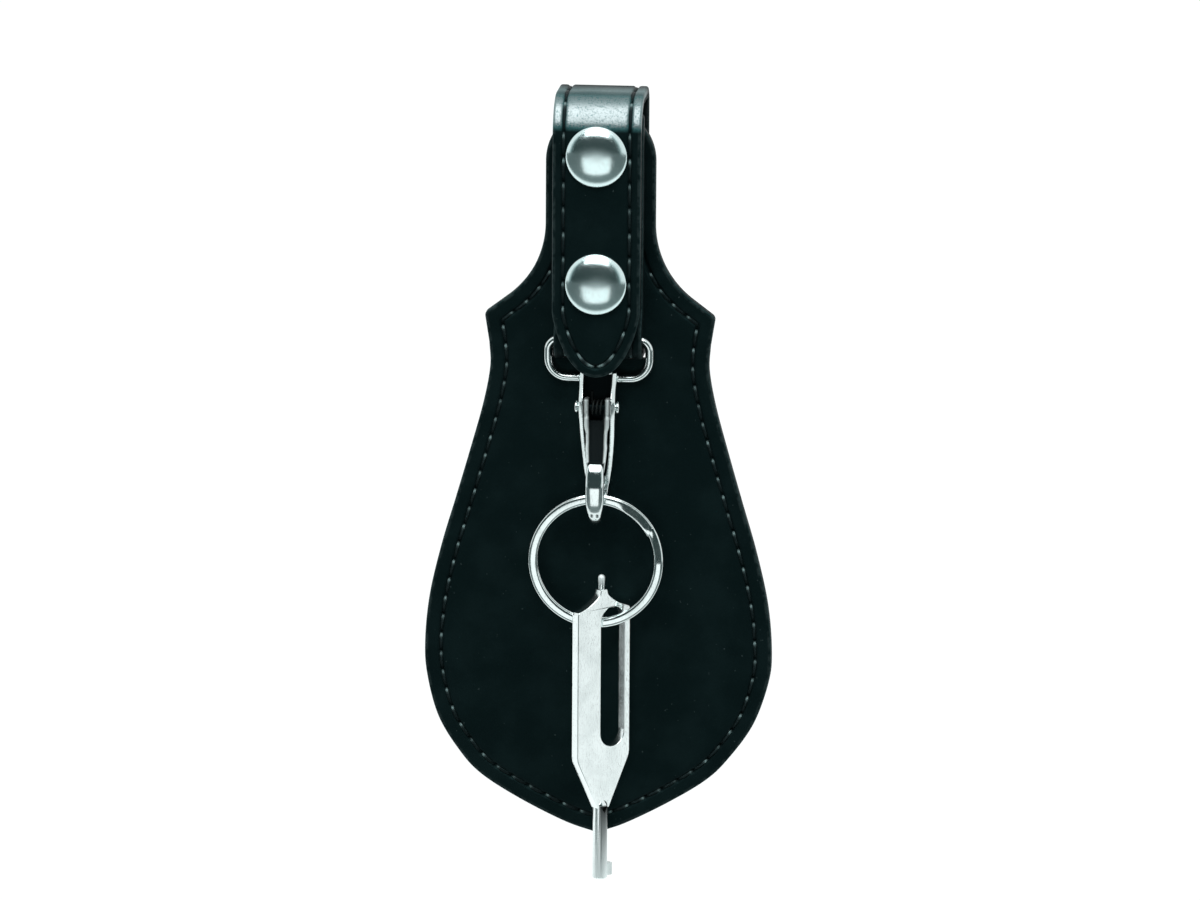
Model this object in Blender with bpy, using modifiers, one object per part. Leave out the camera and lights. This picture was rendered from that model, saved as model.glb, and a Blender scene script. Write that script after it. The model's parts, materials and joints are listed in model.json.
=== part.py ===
"""Belt key holder: a two-ply strap that wraps a duty belt and snaps shut over a sewn flap,
with a gated hook, a split ring and a flat key hanging in front of the flap.

Frame: the origin is the middle of the strap face that rests on the belt's top edge. +Z is up,
-Y is away from the wearer and +X is to the right of someone who looks at the front.
A depth is a distance forward of the belt's middle plane, so it lies at y = -depth.
"""
import math

import bmesh
import bpy
from mathutils import Matrix, Vector
from mathutils.geometry import intersect_point_line

MM = 0.001

# Belt that the loop takes
BELT_WIDTH = 57.15 * MM
BELT_THICKNESS = 6.5 * MM
BELT_SLACK = 3.05 * MM

# Clearances
SEAT_GAP = 0.3 * MM
PLY_GAP = 0.2 * MM
LAYER_GAP = 0.25 * MM
OVERRUN = 2.0 * MM
MERGE_GAP = 0.002 * MM
TURNED_MERGE_GAP = 0.01 * MM

# Strap
STRAP_WIDTH = 21.5 * MM
STRAP_LINING = 1.1 * MM
STRAP_FACE = 1.5 * MM
FRONT_BEND_RADIUS = 6.5 * MM
REAR_TOP_RADIUS = 1.5 * MM
REAR_BOTTOM_RADIUS = 2.5 * MM
STRAP_END_TOP = 2.3 * MM
RAMP_ANGLE = math.radians(30.0)
RAMP_LOW_RADIUS = 3.0 * MM
RAMP_HIGH_RADIUS = 5.0 * MM
RAMP_RISE = 0.8 * MM
SPLIT_ANGLE = math.radians(34.5)
TAIL_LENGTH = 66.1 * MM
TAIL_TAPER = 15.5 * MM
TAIL_SHOULDER_SHARES = (0.875, 0.55)
TAIL_TIP_SHARE = 0.37

# Flap
FLAP_LINING = 1.1 * MM
FLAP_FACE = 1.5 * MM
NECK_TOP = 2.2 * MM
NECK_RADIUS = 13.4 * MM
NECK_CROWN_SHARE = 0.926
NECK_LENGTH = 27.8 * MM
FLARE_RADIUS = 23.0 * MM
FLARE_ANGLE = math.radians(53.0)
SHOULDER_RUN = 7.07 * MM
SHOULDER_RADIUS = 1.5 * MM
FLAP_HALF_WIDTH = 42.6 * MM
FLAP_LENGTH = 129.7 * MM
# Half-width shares and drop shares of the flap from its shoulder down to the tip
FLAP_BODY_SHARES = (
    (0.634, 0.057), (0.629, 0.103), (0.667, 0.172), (0.744, 0.265), (0.824, 0.356), (0.906, 0.448),
    (0.974, 0.546), (1.000, 0.632), (0.985, 0.691), (0.911, 0.769), (0.775, 0.838), (0.638, 0.885),
    (0.401, 0.931), (0.143, 0.978),
)
FLAP_CURVE_STEPS = 4
SLOT_SIDE_GAP = 0.5 * MM

# Seam threads
THREAD_DIAMETER = 0.5 * MM
FLAP_SEAM_INSET = 4.0 * MM
STRAP_SEAM_INSET = 2.7 * MM

# Snap fasteners
SNAP_TOP_DROP = 11.6 * MM
SNAP_TIP_RUN = 23.2 * MM
CAP_HEIGHT = 2.3 * MM
CAP_RIM = 0.7 * MM
CAP_CROWN_SHARE = 0.62
CAP_CROWN_FALL_SHARE = 0.18
CAP_RIM_RISE_SHARE = 0.16
BARREL_RADIUS = 1.45 * MM
BARREL_BORE = 0.9 * MM
FLARE_LIP_RADIUS = 2.4 * MM
FLARE_LIP_THICKNESS = 0.15 * MM
SOCKET_FLANGE = 1.5 * MM
SOCKET_WALL = 0.9 * MM
SOCKET_GROOVE = 0.4 * MM
SOCKET_MOUTH_ROOM = 0.25 * MM
SOCKET_SHEET = 0.3 * MM
STUD_FLANGE_RADIUS = 5.0 * MM
STUD_FLANGE_THICKNESS = 0.5 * MM
STUD_WAIST_RADIUS = 2.4 * MM
STUD_BULGE_RADIUS = 2.95 * MM
STUD_WAIST_HEIGHT = 1.2 * MM
STUD_HEAD_HEIGHT = 0.7 * MM
POST_FLANGE_RADIUS = 4.3 * MM
POST_FLANGE_THICKNESS = 0.7 * MM
SPRING_WIRE = 0.5 * MM
SPRING_OPENING = math.radians(50.0)
ROUND_STEPS = 24

# Hook body with its fixed strap eye
EYE_WIRE = 2.2 * MM
EYE_SIDE_ROOM = 0.55 * MM
EYE_HEIGHT = 11.6 * MM
EYE_TOP_CORNER = 2.6 * MM
EYE_LOW_CORNER = 4.7 * MM
FOLD_ROOM = 0.7 * MM
SPINE_THICKNESS = 2.4 * MM
HOOK_TOP_RISE = 1.6 * MM
THROAT = 6.4 * MM
HOOK_REACH = 27.7 * MM
NOSE_RISE = 7.9 * MM
NOSE_THICKNESS = 2.4 * MM
BEND_THICKNESS = 4.6 * MM
# Reach shares and half-width shares of the spine, from the strap eye down to the bend
SPINE_SHARES = ((0.368, 1.0), (0.834, 0.63))
BEND_START_SHARE = 0.52
BEND_LOW_SHARE = 0.38
NOSE_SHARE = 0.45
# Rise, thickness and half-width shares of the nose, up to its tip
NOSE_SHARES = ((0.5, 1.0, 0.45), (0.85, 0.9, 0.45), (1.0, 0.6, 0.36))
SECTION_ROUND_SHARE = 0.28
CHEEK_THICKNESS = 1.0 * MM
CHEEK_INSET = 0.1 * MM
CHEEK_CORNER = 0.5 * MM
CHEEK_RADIUS = 2.3 * MM
CHEEK_HEEL_RUN = 9.6 * MM

# Gate, its pin and its spring
PIN_RUN = 6.6 * MM
PIN_RADIUS = 1.0 * MM
PIN_HEAD_RADIUS = 1.6 * MM
PIN_HEAD_HEIGHT = 0.6 * MM
PIN_HEAD_CROWN_SHARE = 0.7
GATE_SIDE_ROOM = 0.6 * MM
GATE_TIP_HALF_WIDTH = 2.1 * MM
GATE_TIP_HALF_DEPTH = 0.5 * MM
GATE_FLANGE = 1.2 * MM
GATE_TIP_FLANGE = 0.7 * MM
GATE_WEB = 0.7 * MM
GATE_TIP_WEB = 0.4 * MM
GATE_EAR_RISE = 1.7 * MM
GATE_EAR_SHARE = 0.25
GATE_OVERLAP = 2.5 * MM
GATE_BACK_GAP = 0.45 * MM
GATE_WINDOW = 2.6 * MM
GATE_SPRING_WIRE = 0.44 * MM
GATE_SPRING_ROOM = 0.48 * MM
GATE_SPRING_PITCH = 0.95 * MM
GATE_SPRING_TURNS = 3
GATE_SPRING_LEG = 3.4 * MM
GATE_SPRING_SPLAY = 0.2 * MM
COIL_STEPS = 10

# Split ring
RING_DIAMETER = 33.0 * MM
RING_RADIAL = 2.2 * MM
RING_AXIAL = 0.85 * MM
RING_LAYER_GAP = 0.45 * MM
RING_JOG = math.radians(34.0)
RING_JOG_PLACE = math.radians(30.0)
RING_END_GAP = math.radians(4.0)
RING_STEPS = 32
RING_ROUND = 0.4 * MM
RING_HANG_ROOM = 0.45 * MM

# Key
KEY_WIDTH = 16.2 * MM
KEY_THICKNESS = 2.4 * MM
KEY_YAW = math.radians(44.0)
KEY_SIDE_SHIFT = 1.6 * MM
KEY_SLOT_ROOM = 0.6 * MM
KEY_SLOT_FOOT = 2.8 * MM
KEY_RAIL = 1.7 * MM
KEY_HANG_SHARE = 0.384
KEY_SHOULDER_RISE = -0.5 * MM
KEY_APEX_RISE = 3.7 * MM
KEY_PIN_RISE = 8.2 * MM
KEY_PIN_RADIUS = 0.75 * MM
KEY_SIDE_LENGTH = 37.3 * MM
KEY_TAPER_LENGTH = 12.4 * MM
KEY_BARREL_RADIUS = 1.78 * MM
KEY_BARREL_LENGTH = 17.8 * MM
KEY_BORE_RADIUS = 1.0 * MM
KEY_BORE_DEPTH = 8.0 * MM
KEY_BIT_REACH = 1.5 * MM
KEY_BIT_HEIGHT = 3.1 * MM
KEY_BIT_THICKNESS = 1.4 * MM
KEY_BIT_RISE = 0.4 * MM

# Places worked out from the sizes above
NECK_BACK = BELT_THICKNESS / 2
FLAP_FACE_BACK = NECK_BACK + FLAP_LINING + PLY_GAP
NECK_FRONT = FLAP_FACE_BACK + FLAP_FACE
FLARE_END = NECK_RADIUS + FLARE_RADIUS * (1 - math.cos(FLARE_ANGLE))
SHOULDER_HALF_WIDTH = FLARE_END + SHOULDER_RUN * math.sin(FLARE_ANGLE)
FLARE_DROP = FLARE_RADIUS * math.sin(FLARE_ANGLE) + SHOULDER_RUN * math.cos(FLARE_ANGLE)
SHOULDER_DROP = NECK_TOP + NECK_LENGTH + FLARE_DROP
STRAP_THICKNESS = STRAP_LINING + PLY_GAP + STRAP_FACE
STRAP_END_BACK = NECK_FRONT + LAYER_GAP
STRAP_END_FRONT = STRAP_END_BACK + STRAP_THICKNESS
STUD_FOOT = SEAT_GAP + STUD_FLANGE_THICKNESS
STUD_TOP = STUD_FOOT + STUD_WAIST_HEIGHT + STUD_HEAD_HEIGHT
POST_TOP = STUD_TOP + SEAT_GAP + FLARE_LIP_THICKNESS
CAP_LIP = SEAT_GAP + SOCKET_SHEET + SEAT_GAP + FLARE_LIP_THICKNESS
SNAP_HEIGHT = POST_TOP + SEAT_GAP + CAP_LIP
SNAP_DROPS = (SNAP_TOP_DROP, TAIL_LENGTH - SNAP_TIP_RUN)
CAP_DIAMETER = STRAP_WIDTH - 2 * (STRAP_SEAM_INSET + THREAD_DIAMETER / 2 + SEAT_GAP)
SOCKET_MOUTH_RADIUS = STUD_BULGE_RADIUS + SOCKET_MOUTH_ROOM
SOCKET_GROOVE_RADIUS = SOCKET_MOUTH_RADIUS + SOCKET_GROOVE
SOCKET_CUP_RADIUS = SOCKET_GROOVE_RADIUS + SOCKET_WALL
SOCKET_FLANGE_RADIUS = SOCKET_CUP_RADIUS + SOCKET_FLANGE
SPRING_RADIUS = STUD_WAIST_RADIUS + SEAT_GAP + SPRING_WIRE / 2
TAIL_BACK = STRAP_END_FRONT + SNAP_HEIGHT
TAIL_FRONT = TAIL_BACK + STRAP_THICKNESS
LOOP_HEIGHT = BELT_WIDTH + BELT_SLACK
FRONT_BEND_DEPTH = TAIL_BACK - FRONT_BEND_RADIUS
FRONT_OUTER_RADIUS = FRONT_BEND_RADIUS + STRAP_THICKNESS
TAIL_AXIS_DEPTH = FRONT_BEND_DEPTH + FRONT_OUTER_RADIUS * math.sin(SPLIT_ANGLE)
TAIL_AXIS_Z = FRONT_OUTER_RADIUS * math.cos(SPLIT_ANGLE) - FRONT_BEND_RADIUS
HALF_SPLIT = math.asin(SEAT_GAP / 2 / FRONT_OUTER_RADIUS)
BAR_DEPTH = NECK_FRONT + SEAT_GAP + SPINE_THICKNESS / 2
BAR_DROP = LOOP_HEIGHT - EYE_WIRE / 2 - FOLD_ROOM
FOLD_RADIUS = EYE_WIRE / 2 + FOLD_ROOM
LOW_BAR_DROP = BAR_DROP + EYE_HEIGHT - EYE_WIRE
EYE_WIDTH = STRAP_WIDTH + 2 * (EYE_SIDE_ROOM + EYE_WIRE)
PIN_DROP = LOW_BAR_DROP + PIN_RUN
CHEEK_HEEL_DROP = PIN_DROP + CHEEK_HEEL_RUN
HOOK_BEND_DROP = LOW_BAR_DROP + HOOK_REACH
NOSE_TOP_DROP = HOOK_BEND_DROP - NOSE_RISE
GATE_SPRING_RADIUS = PIN_RADIUS + GATE_SPRING_ROOM + GATE_SPRING_WIRE / 2
GATE_SPRING_REACH = GATE_SPRING_PITCH * GATE_SPRING_TURNS / 2 + GATE_SPRING_WIRE / 2
GATE_EAR_HALF_DEPTH = GATE_SPRING_RADIUS
GATE_EAR_HALF_WIDTH = GATE_SPRING_REACH + GATE_SPRING_ROOM + GATE_FLANGE
HOOK_WIDTH = 2 * (GATE_EAR_HALF_WIDTH + GATE_SIDE_ROOM + CHEEK_THICKNESS + CHEEK_INSET)
SPINE_FRONT = BAR_DEPTH + SPINE_THICKNESS / 2
BEND_RADIUS = THROAT / 2
RING_DEPTH = SPINE_FRONT + BEND_RADIUS
NOSE_BACK = SPINE_FRONT + THROAT
PIN_DEPTH = SPINE_FRONT + GATE_BACK_GAP + GATE_EAR_HALF_DEPTH
GATE_TIP_DEPTH = NOSE_BACK - SEAT_GAP - GATE_TIP_HALF_DEPTH
GATE_END_DROP = NOSE_TOP_DROP + GATE_OVERLAP
RING_RADIUS = (RING_DIAMETER - RING_RADIAL) / 2
RING_DROP = HOOK_BEND_DROP + BEND_RADIUS - RING_HANG_ROOM - RING_RADIAL / 2 + RING_RADIUS
RING_HEIGHT = 2 * RING_AXIAL + RING_LAYER_GAP
KEY_SLOT_SPAN = RING_HEIGHT + 2 * KEY_SLOT_ROOM + KEY_THICKNESS * math.cos(KEY_YAW)
KEY_SLOT_WIDTH = KEY_SLOT_SPAN / math.sin(KEY_YAW)
KEY_SLOT_OFFSET = (KEY_WIDTH - KEY_SLOT_WIDTH) / 2 - KEY_RAIL
KEY_SLOT_LENGTH = KEY_SIDE_LENGTH - KEY_SHOULDER_RISE - KEY_SLOT_FOOT
KEY_SLOT_X = KEY_SIDE_SHIFT + KEY_SLOT_OFFSET * math.cos(KEY_YAW)
KEY_AXIS_DROP = RING_DROP + math.sqrt(RING_RADIUS ** 2 - KEY_SLOT_X ** 2)
KEY_SLOT_TOP = KEY_AXIS_DROP - RING_RADIAL / 2 - KEY_SLOT_WIDTH * KEY_HANG_SHARE
KEY_DEPTH = RING_DEPTH + KEY_SLOT_OFFSET * math.sin(KEY_YAW)

LEATHER = ((0.018, 0.022, 0.022), 0.42, 0.0)
LINING = ((0.026, 0.028, 0.027), 0.6, 0.0)
THREAD = ((0.012, 0.014, 0.014), 0.55, 0.0)
NICKEL = ((0.72, 0.74, 0.73), 0.2, 1.0)
SPRING_STEEL = ((0.42, 0.43, 0.43), 0.32, 1.0)
KEY_STEEL = ((0.78, 0.8, 0.79), 0.24, 1.0)


def clear_scene():
    """Remove every object, so that the file holds the holder alone."""
    for old in list(bpy.data.objects):
        bpy.data.objects.remove(old, do_unlink=True)


def make_collection(name):
    """A new collection linked to the scene."""
    collection = bpy.data.collections.new(name)
    bpy.context.scene.collection.children.link(collection)
    return collection


def make_material(name, look):
    """A Principled material of one base colour, roughness and metallic value."""
    colour, roughness, metallic = look
    material = bpy.data.materials.new(name)
    material.use_nodes = True
    shader = material.node_tree.nodes["Principled BSDF"]
    shader.inputs["Base Color"].default_value = (*colour, 1.0)
    shader.inputs["Roughness"].default_value = roughness
    shader.inputs["Metallic"].default_value = metallic
    return material


def add_object(name, mesh, look=None):
    """Put a mesh in the parts collection with its own material, or among the cutters."""
    item = bpy.data.objects.new(name, mesh)
    if look is None:
        CUTTERS.objects.link(item)
        item.hide_render = True
        item.display_type = "WIRE"
    else:
        PARTS.objects.link(item)
        mesh.materials.clear()
        mesh.materials.append(make_material(name + "_finish", look))
    return item


def boolean(item, cutter, operation):
    """Join, cut or trim a solid with another."""
    modifier = item.modifiers.new(operation.title(), "BOOLEAN")
    modifier.operation = operation
    modifier.solver = "EXACT"
    modifier.object = cutter


def curve_to_mesh(curve, placement):
    """The closed mesh of a curve, moved to its place in the world."""
    holder = bpy.data.objects.new(curve.name, curve)
    bpy.context.scene.collection.objects.link(holder)
    evaluated = holder.evaluated_get(bpy.context.evaluated_depsgraph_get())
    mesh = bpy.data.meshes.new_from_object(evaluated)
    bpy.data.objects.remove(holder, do_unlink=True)
    shape = bmesh.new()
    shape.from_mesh(mesh)
    bmesh.ops.remove_doubles(shape, verts=shape.verts, dist=MERGE_GAP)
    bmesh.ops.recalc_face_normals(shape, faces=shape.faces)
    bmesh.ops.transform(shape, matrix=placement, verts=shape.verts)
    shape.to_mesh(mesh)
    shape.free()
    return mesh


def plate(name, outlines, thickness, placement):
    """A flat piece: a closed outline, with any holes after it, made thick about its plane."""
    curve = bpy.data.curves.new(name, "CURVE")
    curve.dimensions = "2D"
    curve.fill_mode = "BOTH"
    curve.extrude = thickness / 2
    for outline in outlines:
        spline = curve.splines.new("POLY")
        spline.points.add(len(outline) - 1)
        for point, (across, up) in zip(spline.points, outline):
            point.co = (across, up, 0.0, 1.0)
        spline.use_cyclic_u = True
    return curve_to_mesh(curve, placement)


def tube(name, points, diameter, closed=False, sides=6):
    """A round wire or thread through points in the world."""
    curve = bpy.data.curves.new(name, "CURVE")
    curve.dimensions = "3D"
    curve.bevel_depth = diameter / 2
    curve.bevel_resolution = (sides - 4) // 2
    curve.use_fill_caps = not closed
    spline = curve.splines.new("POLY")
    spline.points.add(len(points) - 1)
    for point, place in zip(spline.points, points):
        point.co = (*place, 1.0)
    spline.use_cyclic_u = closed
    return curve_to_mesh(curve, Matrix.Identity(4))


def front_plane(depth):
    """Placement that stands an outline of (x, z) points up at a depth."""
    return Matrix.Translation((0.0, -depth, 0.0)) @ Matrix.Rotation(math.pi / 2, 4, "X")


def side_plane(across):
    """Placement that stands an outline of (y, z) points up at a distance along X."""
    turn = Matrix(((0.0, 0.0, 1.0), (1.0, 0.0, 0.0), (0.0, 1.0, 0.0)))
    return Matrix.Translation((across, 0.0, 0.0)) @ turn.to_4x4()


def arc(centre, radius, start, end, steps):
    """Points of an arc, both ends included."""
    points = []
    for step in range(steps + 1):
        angle = start + (end - start) * step / steps
        points.append((centre[0] + radius * math.cos(angle), centre[1] + radius * math.sin(angle)))
    return points


def circle(centre, radius, steps=ROUND_STEPS):
    """Points of a full circle, the last one left out."""
    return arc(centre, radius, 0.0, 2 * math.pi, steps)[:-1]


def round_corner(before, corner, after, radius, steps=4):
    """Points of the arc that rounds a corner between two straight edges."""
    corner = Vector(corner)
    arm_in = (Vector(before) - corner).normalized()
    arm_out = (Vector(after) - corner).normalized()
    half = arm_in.angle(arm_out) / 2
    centre = corner + (arm_in + arm_out).normalized() * (radius / math.sin(half))
    first = corner + arm_in * (radius / math.tan(half)) - centre
    last = corner + arm_out * (radius / math.tan(half)) - centre
    start = math.atan2(first.y, first.x)
    sweep = (math.atan2(last.y, last.x) - start + math.pi) % (2 * math.pi) - math.pi
    return arc(centre, radius, start, start + sweep, steps)


def round_polygon(corners, radius, steps=4):
    """A closed polygon with every corner rounded alike."""
    points = []
    for index, corner in enumerate(corners):
        after = corners[(index + 1) % len(corners)]
        points.extend(round_corner(corners[index - 1], corner, after, radius, steps))
    return points


def smooth_through(points, steps):
    """A Catmull-Rom curve through 2D points, which starts and ends at the outer ones."""
    ends = [2 * Vector(points[0]) - Vector(points[1])]
    knots = ends + [Vector(point) for point in points] + [2 * Vector(points[-1]) - Vector(points[-2])]
    curve = []
    for index in range(1, len(knots) - 2):
        a, b, c, d = knots[index - 1:index + 3]
        for step in range(steps):
            t = step / steps
            square = a * 2 - b * 5 + c * 4 - d
            cube = b * 3 - a - c * 3 + d
            curve.append(tuple((b * 2 + (c - a) * t + square * t ** 2 + cube * t ** 3) / 2))
    curve.append(tuple(knots[-2]))
    return curve


def offset_outline(points, inset):
    """A closed outline moved inwards, corner by corner; its points run clockwise."""
    moved = []
    for index, point in enumerate(points):
        here = Vector(point)
        arm_in = (here - Vector(points[index - 1])).normalized()
        arm_out = (Vector(points[(index + 1) % len(points)]) - here).normalized()
        normal = Vector((arm_in.y + arm_out.y, -arm_in.x - arm_out.x)).normalized()
        stretch = max(0.5, math.cos(arm_in.angle(arm_out) / 2))
        moved.append(tuple(here + normal * (inset / stretch)))
    return moved


def turned(name, profile, placement, closed=True, look=None):
    """A turned piece: a profile of (radius, height) points screwed about its own axis."""
    mesh = bpy.data.meshes.new(name)
    count = len(profile)
    edges = [(index, (index + 1) % count) for index in range(count if closed else count - 1)]
    mesh.from_pydata([(radius, 0.0, height) for radius, height in profile], edges, [])
    item = add_object(name, mesh, look)
    item.matrix_world = placement
    screw = item.modifiers.new("Turn", "SCREW")
    screw.steps = ROUND_STEPS
    screw.render_steps = ROUND_STEPS
    screw.use_merge_vertices = True
    screw.merge_threshold = TURNED_MERGE_GAP
    return item


def loft(name, sections):
    """A closed skin over sections that have the same number of points."""
    shape = bmesh.new()
    rings = [[shape.verts.new(point) for point in section] for section in sections]
    for low, high in zip(rings, rings[1:]):
        for index in range(len(low)):
            after = (index + 1) % len(low)
            shape.faces.new((low[index], low[after], high[after], high[index]))
    shape.faces.new(list(reversed(rings[0])))
    shape.faces.new(rings[-1])
    bmesh.ops.recalc_face_normals(shape, faces=shape.faces)
    mesh = bpy.data.meshes.new(name)
    shape.to_mesh(mesh)
    shape.free()
    return mesh


def round_section(centre, across, outward, half_width, thickness, rounding):
    """A rounded rectangle that starts at centre and reaches a thickness outward."""
    middle = centre + outward * (thickness / 2)
    wide = across * (half_width - rounding)
    deep = outward * (thickness / 2 - rounding)
    points = []
    for number, (side, way) in enumerate(((1, 1), (-1, 1), (-1, -1), (1, -1))):
        for step in range(3):
            angle = math.pi / 2 * number + math.pi / 4 * step
            turn = across * math.cos(angle) + outward * math.sin(angle)
            points.append(middle + wide * side + deep * way + turn * rounding)
    return points


def strap_turns():
    """The strap's bends from the front bend over the belt, under it and up the front.

    Each is its centre (y, z), its radius on the lining's inner face, its first and last angle,
    and +1 where the outer ply lies outside the bend or -1 where it lies inside.
    """
    front = (-FRONT_BEND_DEPTH, -FRONT_BEND_RADIUS)
    rear_top = (BELT_THICKNESS / 2 - REAR_TOP_RADIUS, -REAR_TOP_RADIUS)
    rear_low = (BELT_THICKNESS / 2 - REAR_BOTTOM_RADIUS, REAR_BOTTOM_RADIUS - LOOP_HEIGHT)
    bar = (-BAR_DEPTH, -BAR_DROP)
    ramp_low = (RAMP_LOW_RADIUS - BAR_DEPTH - FOLD_RADIUS, RAMP_RISE - BAR_DROP)
    step_back = BAR_DEPTH + FOLD_RADIUS - STRAP_END_BACK
    both = RAMP_LOW_RADIUS + RAMP_HIGH_RADIUS
    straight = (step_back - both * (1 - math.cos(RAMP_ANGLE))) / math.tan(RAMP_ANGLE)
    ramp_high = (-STRAP_END_BACK - RAMP_HIGH_RADIUS, ramp_low[1] + straight + both * math.sin(RAMP_ANGLE))
    quarter = math.pi / 2
    return (
        (front, FRONT_BEND_RADIUS, quarter + SPLIT_ANGLE - HALF_SPLIT, quarter, 1),
        (rear_top, REAR_TOP_RADIUS, quarter, 0.0, 1),
        (rear_low, REAR_BOTTOM_RADIUS, 0.0, -quarter, 1),
        (bar, FOLD_RADIUS, -quarter, -2 * quarter, 1),
        (ramp_low, RAMP_LOW_RADIUS, 2 * quarter, 2 * quarter - RAMP_ANGLE, 1),
        (ramp_high, RAMP_HIGH_RADIUS, -RAMP_ANGLE, 0.0, -1),
    )


def strap_line(offset):
    """Points (y, z) of the fixed run of the strap at a distance from the lining's inner face."""
    points = []
    for centre, radius, start, end, side in strap_turns():
        steps = max(2, round(abs(end - start) / math.radians(15.0)))
        points.extend(arc(centre, radius + side * offset, start, end, steps))
    points.append((-STRAP_END_BACK - offset, -STRAP_END_TOP))
    return points


def tail_line(offset):
    """Points (y, z) of the lifting tail, from the split in the front bend to past its tip."""
    front = (-FRONT_BEND_DEPTH, -FRONT_BEND_RADIUS)
    start = math.pi / 2 + SPLIT_ANGLE + HALF_SPLIT
    points = arc(front, FRONT_BEND_RADIUS + offset, start, math.pi, 5)
    points.append((-TAIL_BACK - offset, -TAIL_LENGTH - OVERRUN))
    return points


def ply_band(name, line, inner, thickness):
    """A ply of the strap: the band between two offsets of its line, as wide as the strap."""
    outline = line(inner) + list(reversed(line(inner + thickness)))
    return plate(name, [outline], STRAP_WIDTH, side_plane(0.0))


def tail_outline(inset=0.0):
    """Right half of the tail's outline (x, z) from where it starts to taper to its rounded tip."""
    half = STRAP_WIDTH / 2 - inset
    drop = TAIL_TAPER - inset
    tip = inset - TAIL_LENGTH
    waist_share, height_share = TAIL_SHOULDER_SHARES
    waist = (half * waist_share, drop * height_share)
    knots = ((half, drop), waist, (half * TAIL_TIP_SHARE, 0.0), (0.0, 0.0))
    points = []
    for step in range(9):
        t = step / 8
        weights = ((1 - t) ** 3, 3 * t * (1 - t) ** 2, 3 * t * t * (1 - t), t ** 3)
        across = sum(weight * knot[0] for weight, knot in zip(weights, knots))
        rise = sum(weight * knot[1] for weight, knot in zip(weights, knots))
        points.append((across, tip + rise))
    return points


def build_strap():
    """Two plies of the fixed run and two of the tail, pierced for the snaps."""
    barrel_hole = BARREL_RADIUS + SEAT_GAP
    holes = [circle((0.0, -drop), barrel_hole, ROUND_STEPS // 2) for drop in SNAP_DROPS]
    spans = (TAIL_BACK + NECK_FRONT) / 2
    for number, hole in enumerate(holes):
        drill = plate("drill", [hole], TAIL_BACK - NECK_FRONT, front_plane(spans))
        DRILLS.append(add_object(f"strap_drill_{number}", drill))
    half = tail_outline()
    top = OVERRUN + STRAP_THICKNESS
    whole = [(STRAP_WIDTH, top)] + [(STRAP_WIDTH, half[0][1])] + half
    whole += [(-across, rise) for across, rise in reversed(half[:-1])]
    whole += [(-STRAP_WIDTH, half[0][1]), (-STRAP_WIDTH, top)]
    punch_mesh = plate("tail_punch", [whole] + holes, 2 * (TAIL_FRONT + OVERRUN), front_plane(0.0))
    punch = add_object("tail_punch", punch_mesh)
    plies = (("lining", 0.0, STRAP_LINING, LINING), ("outer", STRAP_LINING + PLY_GAP, STRAP_FACE, LEATHER))
    for ply, inner, thickness, look in plies:
        fixed = add_object(f"strap_{ply}_loop", ply_band("loop", strap_line, inner, thickness), look)
        for drill in DRILLS:
            boolean(fixed, drill, "DIFFERENCE")
        tail = add_object(f"strap_{ply}_tail", ply_band("tail", tail_line, inner, thickness), look)
        boolean(tail, punch, "INTERSECT")
        attach(tail, "tail_lift")


def flap_half():
    """Right half of the flap's outline (x, z), from the top of the neck to the tip."""
    crown = (0.0, -NECK_TOP - NECK_RADIUS * NECK_CROWN_SHARE)
    points = [(0.0, -NECK_TOP)] + arc(crown, NECK_RADIUS, math.asin(NECK_CROWN_SHARE), 0.0, 8)
    flare = (NECK_RADIUS + FLARE_RADIUS, -NECK_TOP - NECK_LENGTH)
    points += arc(flare, FLARE_RADIUS, math.pi, math.pi + FLARE_ANGLE, 7)
    shares = FLAP_BODY_SHARES + ((0.0, 1.0),)
    body = [(wide * FLAP_HALF_WIDTH, -SHOULDER_DROP - drop * FLAP_LENGTH) for wide, drop in shares]
    points += round_corner(points[-1], (SHOULDER_HALF_WIDTH, -SHOULDER_DROP), body[0], SHOULDER_RADIUS)
    points += smooth_through(body, FLAP_CURVE_STEPS)
    return points


def flap_outline():
    """The whole flap outline, clockwise from the top of the neck."""
    right = flap_half()
    return right + [(-across, rise) for across, rise in reversed(right[1:-1])]


def build_flap():
    """Two plies with the slot for the strap and the holes for the snap posts."""
    outline = flap_outline()
    slot_half = STRAP_WIDTH / 2 + SLOT_SIDE_GAP
    slot_top = SEAT_GAP - LOOP_HEIGHT
    slot_low = -LOOP_HEIGHT - STRAP_THICKNESS - SEAT_GAP
    corners = ((slot_half, slot_top), (slot_half, slot_low), (-slot_half, slot_low), (-slot_half, slot_top))
    slot = round_polygon(corners, SLOT_SIDE_GAP, 3)
    plies = (
        ("flap_lining", NECK_BACK, FLAP_LINING, POST_FLANGE_RADIUS + SEAT_GAP, LINING),
        ("flap_face", FLAP_FACE_BACK, FLAP_FACE, BARREL_RADIUS + SEAT_GAP, LEATHER),
    )
    for name, back, thickness, hole, look in plies:
        holes = [circle((0.0, -drop), hole, ROUND_STEPS // 2) for drop in SNAP_DROPS]
        place = front_plane(back + thickness / 2)
        add_object(name, plate(name, [outline, slot] + holes, thickness, place), look)


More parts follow.
